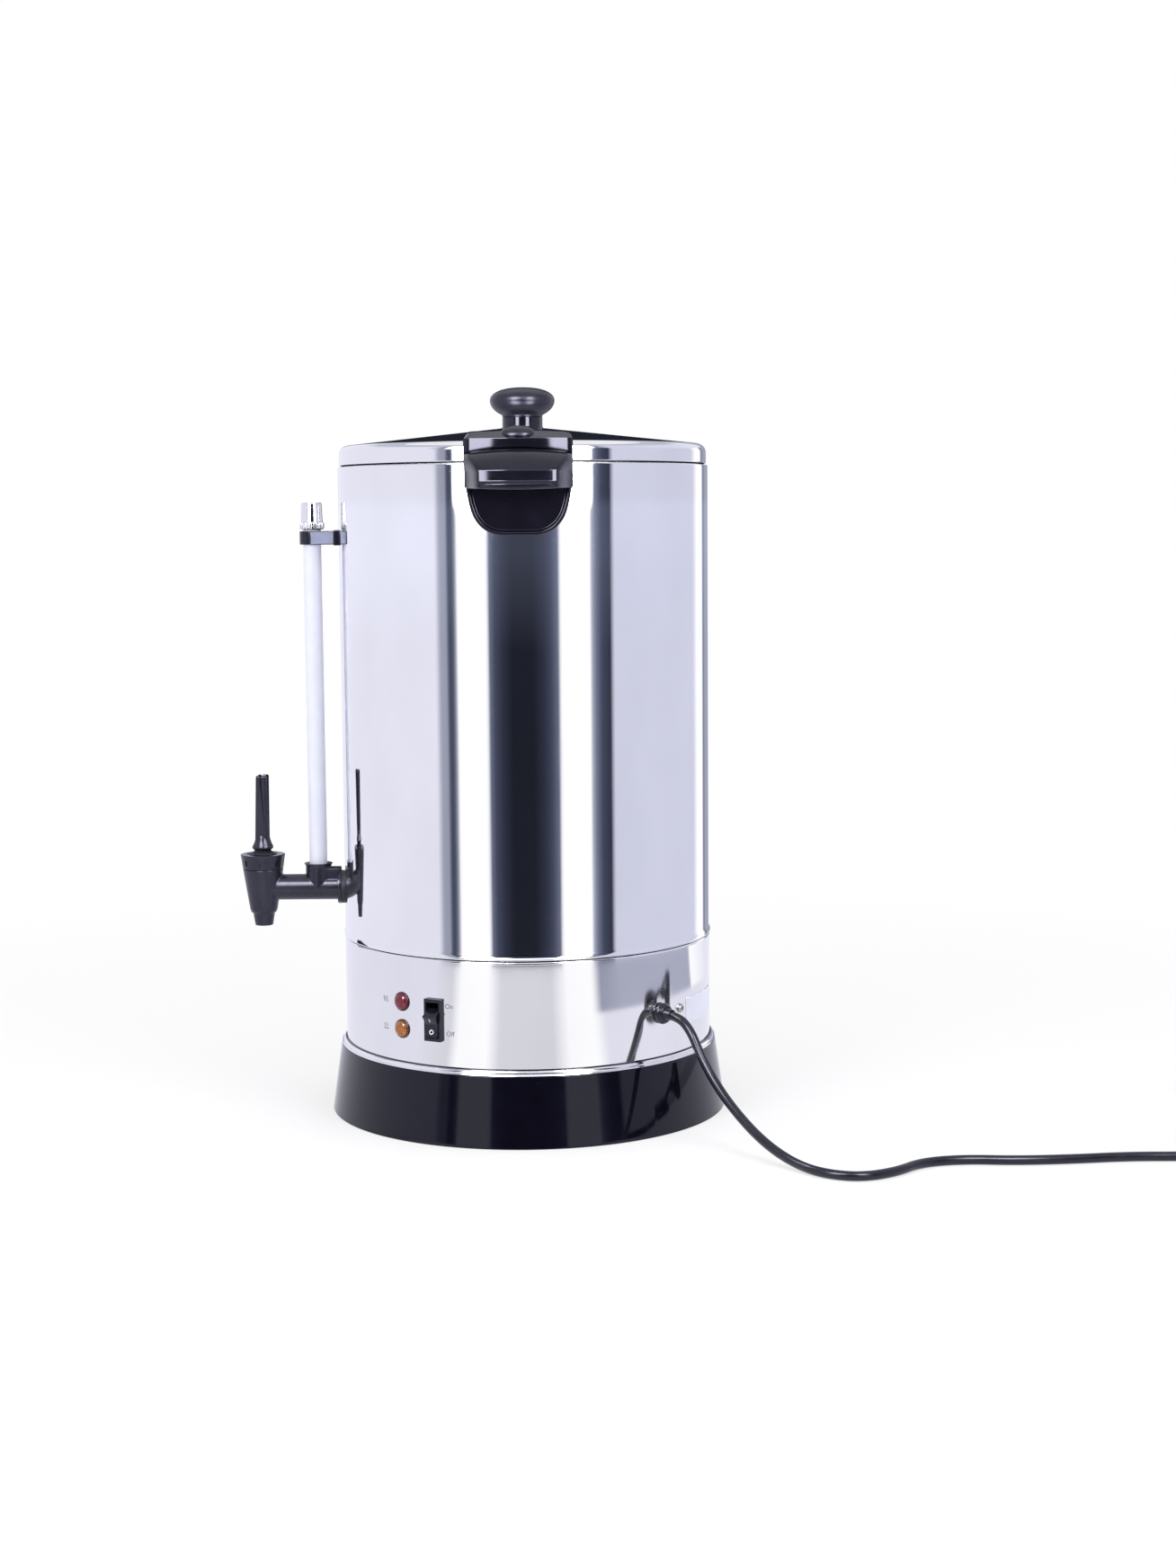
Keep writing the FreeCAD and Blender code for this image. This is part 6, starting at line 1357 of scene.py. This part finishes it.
class URN_OT_lever(bpy.types.Operator):
    """Model the tap's lever with its flared foot and grooved grip"""

    bl_idname = "urn.lever"
    bl_label = "Tap lever"

    def execute(self, context):
        reach, top = mm("tap", "reach", "lever_top")
        length = 57.9
        outline = [
            (0, 0), (6.7, 0), (8.3, 1.6), (8.0, 3.0), (6.9, 5.2), (6.2, 7.4), (5.6, 10.0),
            (4.6, 13.0), (0, 13.0),
        ]
        cup = turned("cup", outline, 64)
        grip = edit(block("lever_grip", (-5.0, -5.2, 7.0), (5.0, 5.2, length)))
        places = (12, 20, 30, 40, 50)
        for place in places:
            everything()
            bpy.ops.mesh.bisect(plane_co=(0, 0, place * MM), plane_no=UP)
        for place in (*places, length):
            part = (place - 8.5) / 49.4
            choose(grip, lambda v, p=place: abs(v.z - p) < 0.05)
            resize(1 + 0.5 * part, 1, 1, (0, 0, place))
            choose(grip, lambda v, p=place: abs(v.z - p) < 0.05 and v.y < 0)
            shift(y=1.8 * part)
        rounded(done(grip), 1.5, 4)
        lever = moulded(joined("lever", cup, grip), 0.32, 4)
        slot = block("slot", (-2.8, -12.0, -12.0), (2.8, 4.3, 9.8))
        carved(lever, slot, *self.grooves())
        moved(lever, 0, -reach, top - length)
        settle(lever, "tap_lever", "tap_plastic", "tap_lever", smooth=50)
        return {"FINISHED"}

    def grooves(self):
        """Cutters for the V across the lever's top and the slanting grooves in its sides."""
        notch = slab("notch", [(-2.2, 60.0), (0.0, 54.9), (1.6, 60.0)], 0, -12.0, 24.0)
        outline = [(3.6, 10.5), (0.9, 60.0), (-0.9, 60.0), (2.8, 10.5)]
        sides = [slab("groove", outline, 0, side * 7.5 - 2.5, 5.0) for side in (-1, 1)]
        return [notch, *sides]


class URN_OT_gauge(bpy.types.Operator):
    """Model the sight gauge: tube, knurled ring, cap and bracket"""

    bl_idname = "urn.gauge"
    bl_label = "Sight gauge"

    def execute(self, context):
        reach, radius, top = mm("tap", "gauge_reach", "gauge_radius", "gauge_top")
        outline = [
            (5.0, 183.2), (radius, 183.2), (radius, 184.0), (radius, top - 0.6),
            (radius, top, 0.3), (5.0, top),
        ]
        tube = moved(turned("tube", outline, 64, closed=True), y=-reach)
        settle(tube, "root", "gauge_tube", "gauge_tube")
        outline = [(6.9, 0), (8.4, 0), (8.9, 0.7), (8.9, 5.0), (8.4, 5.7), (6.9, 5.7)]
        ring = edit(turned("ring", outline, 144, closed=True))

        def in_ridge(p, n):
            way = degrees(atan2(p.y, p.x)) % 20.0
            return 0.7 < p.z < 5.0 and (n.x * p.x + n.y * p.y) > 7 and 5.0 < way < 15.0

        choose(ring, in_ridge, "FACE")
        swollen(0.5)
        rounded(done(ring), 0.15, 2, 30)
        moved(ring, 0, -reach, top - 15.2)
        settle(ring, "root", "chrome", "cap_ring")
        outline = [
            (6.9, 0), (8.3, 0), (8.3, 0.5), (7.95, 8.0), (7.75, 12.6), (7.6, 14.5, 0.9),
            (0.8, 14.5), (0.8, 9.8), (6.9, 9.8),
        ]
        cap = moved(turned("cap", outline, closed=True), 0, -reach, top - 9.5)
        settle(cap, "gauge_cap", "chrome", "gauge_cap")
        self.bracket(reach, top - 21.6)
        return {"FINISHED"}

    def bracket(self, reach, height):
        """The bracket that holds the tube to the shell."""
        half, shell, pad = 9.4, -139.2, -144.0
        low, high = height - 5.1, height + 5.1
        arms = edit(block("bracket", (-half, -reach - half, low), (half, shell, high)))
        choose(arms, lambda v: v.y < -reach - 9.0, "EDGE")
        mesh = bmesh.from_edit_mesh(arms.data)
        for edge in mesh.edges:
            upright = abs(edge.verts[0].co.z - edge.verts[1].co.z) > 0.005
            edge.select_set(edge.select and upright)
        bmesh.update_edit_mesh(arms.data)
        bpy.ops.mesh.bevel(affect="EDGES", offset=9.35 * MM, segments=16, profile=0.5)
        done(arms)
        outline = [(0, low - 2), (6.9, low - 2), (6.9, high + 2), (0, high + 2)]
        carved(arms, moved(turned("hole", outline, 64), y=-reach))
        rounded(arms, 0.6, 3, 40)
        for middle in (-half, half):
            near, far = (middle - 0.2, -reach, height - 0.2), (middle + 0.2, -145, height + 0.2)
            carved(arms, block("seam", near, far))
        foot = block("foot", (-11.9, pad, low - 0.7), (11.9, shell, high + 0.7))
        bracket = joined("tube_bracket", arms, rounded(foot, 0.8, 3, 40))
        settle(bracket, "root", "black_satin", "gauge_bracket", smooth=40)
        # The flat sides of the bracket arms get a bluish grey that stands in for a pale reflection:
        # painted reflection.
        dressed(
            bracket, "bracket_side",
            lambda p, n: abs(n.x) > 0.98 and abs(p.x) < 9.6 and -reach < p.y < pad
            and abs(p.z - height) < 4.6,
        )


# What sits on the lower band.


class URN_OT_switch(bpy.types.Operator):
    """Model the rocker switch with its marks"""

    bl_idname = "urn.switch"
    bl_label = "Rocker switch"

    def execute(self, context):
        at = (panel().switch_angle, panel().switch_height)
        thick = 3.0
        case = edit(block("switch_frame", (-6.45, -13.8, -20.0), (6.45, 13.8, 0.05)))
        choose(case, lambda p, n: n.z > 0.9, "FACE")
        pushed(2, 0.0)
        resize(6.95 / 6.45, 15.6 / 13.8, 1, (0, 0, 0.05))
        pushed(2, thick)
        bpy.ops.mesh.inset(thickness=1.6 * MM, depth=0)
        choose(
            case, lambda p, n: n.z > 0.9 and p.z > thick and max(abs(p.x), abs(p.y)) < 0.5, "FACE"
        )
        resize(1, 12.7 / 13.7, 1, (0, 0, thick + 0.05))
        pushed(2, -18.85 - thick)
        on_band(rounded(done(case), 0.8, 4, 35), *at)
        settle(case, "root", "black_satin", "switch_housing", smooth=40)
        tilt = Matrix.Translation((0, 0, -9.0 * MM)) @ Matrix.Rotation(radians(15.5), 4, "X")
        crease, reach, lean = 13.0, 8.8, radians(23.0)
        ridge, top = reach * cos(lean), crease + reach * sin(lean)
        outline = [
            (0.0, crease), (ridge, top), (reach * 1.24, 6.3), (reach * 0.6, -3.0),
            (-reach * 0.6, -3.0), (-reach * 1.24, 6.3), (-ridge, top),
        ]
        rocker = rounded(slab("rocker", outline, 0, -5.1, 10.2), 0.5, 3, 20)
        on_band(put(rocker, tilt), *at)
        settle(rocker, "switch_rocker", "black_satin", "switch_rocker", smooth=40)
        marks = on_band(put(self.marks(crease, lean), tilt), *at)
        settle(marks, "switch_rocker", "white_plastic", finish="switch_marks")
        return {"FINISHED"}

    def marks(self, crease, lean):
        """The stroke and the circle on the rocker's two faces."""
        stroke = rounded(block("stroke", (-0.3, -1.6, 0), (0.3, 1.6, 0.1)), 0.06, 2)
        circle = turned(
            "circle", [(1.15, 0), (1.75, 0), (1.75, 0.1), (1.15, 0.1)], 48, closed=True
        )
        for mark, side in ((stroke, 1), (circle, -1)):
            place = (0, side * 5.0 * cos(lean) * MM, (crease + 5.0 * sin(lean)) * MM)
            put(mark, Matrix.Translation(place) @ Matrix.Rotation(side * lean, 4, "X"))
        return joined("rocker_marks", stroke, circle)


class URN_OT_lamps(bpy.types.Operator):
    """Model the two signal lamps"""

    bl_idname = "urn.lamps"
    bl_label = "Signal lamps"

    def execute(self, context):
        radius = mm("panel", "lens_radius")
        outline = [
            (0, 0.05), (radius - 0.2, 0.05), (radius, 0.3), (radius - 0.1, 0.9, 0.3),
            (radius - 0.9, 1.3), *arc((radius - 1.1, 1.8), (0, 4.0), -0.9, 7),
        ]
        for name, height, slot, node in (
            ("red_lens", panel().lamp_high, "lamp_red", "heating_lamp"),
            ("amber_lens", panel().lamp_low, "lamp_amber", "warm_lamp"),
        ):
            lens = on_band(turned(name, outline, 48), panel().lamp_angle, height)
            settle(lens, "root", slot, node, smooth=40)
            dressed(lens, slot + "_rim", self.beside(radius - 1.15, height))
        return {"FINISHED"}

    def beside(self, reach, height):
        """A test for the faces that are further than reach from the middle of a lamp."""
        angle = panel().lamp_angle
        middle = Vector((0, 0, height)) / MM
        outwards = Vector((cos(angle), sin(angle), 0))

        def test(p, n):
            offset = (p - middle) - outwards * (p - middle).dot(outwards)
            return offset.length > reach

        return test


class URN_OT_prints(bpy.types.Operator):
    """Print On and Off beside the switch and a plain sign beside each lamp"""

    bl_idname = "urn.prints"
    bl_label = "Prints on the band"

    def execute(self, context):
        high, low = panel().lamp_high, panel().lamp_low
        right = panel().switch_angle + radians(5.0)
        left = panel().lamp_angle - radians(7.2)
        words = [self.word("On", right, high), self.word("Off", right + radians(0.3), low)]
        hot = joined("hot_sign", *[self.wave(x, -2.2, 2.2) for x in (-1.9, 0.0, 1.9)])
        on_band(hot, left, high, 0.02)
        bar = block("bar", (-2.6, -2.2, 0), (2.6, -1.6, 0.05))
        warm = joined("warm_sign", *[self.wave(x, -0.8, 2.2) for x in (-1.3, 1.3)], bar)
        on_band(warm, left, low, 0.02)
        signs = joined("band_prints", *words, hot, warm)
        settle(signs, "root", "black_satin", finish="print")
        return {"FINISHED"}

    def word(self, letters, angle, height):
        """A word in thin print, 3.4 mm high, laid on the band."""
        rest()
        bpy.ops.object.text_add()
        text = bpy.context.object.data
        text.body = letters
        text.size = 4.9 * MM
        text.extrude = 0.025 * MM
        text.align_x = "CENTER"
        text.align_y = "CENTER"
        bpy.ops.object.convert(target="MESH")
        word = edit(bpy.context.object)
        tidy_mesh()
        return on_band(done(word), angle, height, 0.03)

    def wave(self, x, low, high):
        """An upright wavy line."""
        line = []
        for step in range(13):
            part = step / 12
            line.append((x + 0.42 * sin(2 * pi * part), low + (high - low) * part))
        outline = [(a - 0.24, b) for a, b in line] + [(a + 0.24, b) for a, b in reversed(line)]
        return slab("wave", outline, 2, 0.0, 0.05)


class URN_OT_gland(bpy.types.Operator):
    """Model the cord gland, the earth screw and the blank rating plate"""

    bl_idname = "urn.gland"
    bl_label = "Gland, earth screw, plate"

    def execute(self, context):
        outline = [
            (3.45, -9), (6.9, -9), (6.9, 0.1), *arc((7.2, 0.1), (6.7, 4.6), -0.9, 8),
            *arc((6.7, 4.6), (4.9, 5.8), -0.5, 4)[1:], (4.6, 6.2), (4.2, 8.6),
            (3.9, 11.0, 0.2), (3.45, 11.0),
        ]
        gland = turned("gland", outline, 72, closed=True)
        on_band(gland, panel().gland_angle, panel().gland_height)
        settle(gland, "root", "cord_black", "cord_gland", smooth=40)
        self.earth_screw()
        self.rating_plate()
        return {"FINISHED"}

    def earth_screw(self):
        """The earth screw with its cross and its nut inside the band."""
        at = (panel().earth_angle, panel().earth_height)
        outline = [
            (0, -11), (2.0, -11), (2.0, 0.05), (3.5, 0.05), (3.5, 0.6), (2.8, 0.6), (2.9, 0.9),
            (2.9, 1.4), (2.5, 2.1), (1.6, 2.5), (0, 2.6),
        ]
        screw = turned("earth", outline, 64)
        for wide, high in ((0.8, 3.0), (3.0, 0.8)):
            carved(screw, block("cross", (-wide / 2, -high / 2, 1.2), (wide / 2, high / 2, 4.0)))
        outline = [(2.0, -8.0), (3.9, -8.0), (3.9, -5.2), (2.0, -5.2)]
        nut = on_band(turned("earth_nut", outline, 6, closed=True), *at)
        screw = joined("earth", on_band(screw, *at), nut)
        settle(screw, "root", "screw_steel", "earth_screw", smooth=40, finish="element_steel")

    def rating_plate(self):
        """The blank rating plate, bent round the band."""
        band, middle = mm("body", "band_radius"), degrees(panel().plate_angle)
        half = 11.4
        outline = [(band, 75.0), (band + 0.4, 75.0), (band + 0.4, 95.0), (band, 95.0)]
        plate = edit(turned("plate", outline, 24, 2 * half, closed=True, start=middle + half), "EDGE")
        bpy.ops.mesh.select_all(action="DESELECT")
        bpy.ops.mesh.select_non_manifold()
        bpy.ops.mesh.edge_face_add()
        tidy_mesh()
        rounded(done(plate), 0.12, 2, 50)
        settle(plate, "root", "label_silver", "rating_plate", smooth=40)


class URN_OT_inner_parts(bpy.types.Operator):
    """Dress the parts that come from the CAD model as they are"""

    bl_idname = "urn.inner_parts"
    bl_label = "Inner parts"

    def execute(self, context):
        slots = {part["node"]: part["material_slot"] for part in frame["record"]["subparts"]}
        for name, node in frame["nodes"].items():
            node.data.materials.clear()
            node.data.materials.append(FINISHES[slots[name]])
        return {"FINISHED"}


class URN_OT_finishes(bpy.types.Operator):
    """Make the urn's materials"""

    bl_idname = "urn.finishes"
    bl_label = "Finishes"

    def execute(self, context):
        make_finishes()
        return {"FINISHED"}


class URN_PT_panel(bpy.types.Panel):
    """Lists the urn's pieces in the sidebar"""

    bl_idname = "URN_PT_panel"
    bl_label = "Hot water urn"
    bl_space_type = "VIEW_3D"
    bl_region_type = "UI"
    bl_category = "Urn"

    def draw(self, context):
        for operator in OPERATORS:
            self.layout.operator(operator.bl_idname)


OPERATORS = (
    URN_OT_finishes, URN_OT_stage, URN_OT_cord, URN_OT_shell, URN_OT_band, URN_OT_base,
    URN_OT_lid, URN_OT_knob, URN_OT_catches, URN_OT_handles, URN_OT_tap, URN_OT_lever,
    URN_OT_gauge, URN_OT_switch, URN_OT_lamps, URN_OT_prints, URN_OT_gland, URN_OT_inner_parts,
)
GROUPS = (
    ("urn_body", UrnBodySizes),
    ("urn_handles", UrnHandleSizes),
    ("urn_tap", UrnTapSizes),
    ("urn_panel", UrnPanelSizes),
    ("urn_colours", UrnColours),
)


def register():
    """Registers the sizes, the operators and the panel."""
    for name, group in GROUPS:
        bpy.utils.register_class(group)
        setattr(bpy.types.Scene, name, PointerProperty(type=group))
    for operator in OPERATORS:
        bpy.utils.register_class(operator)
    bpy.utils.register_class(URN_PT_panel)


def unregister():
    """Takes everything out again."""
    bpy.utils.unregister_class(URN_PT_panel)
    for operator in reversed(OPERATORS):
        bpy.utils.unregister_class(operator)
    for name, group in reversed(GROUPS):
        delattr(bpy.types.Scene, name)
        bpy.utils.unregister_class(group)


def main():
    """Builds every piece in order."""
    register()
    for operator in OPERATORS:
        family, name = operator.bl_idname.split(".")
        getattr(getattr(bpy.ops, family), name)()
    rest()


if __name__ == "__main__":
    main()
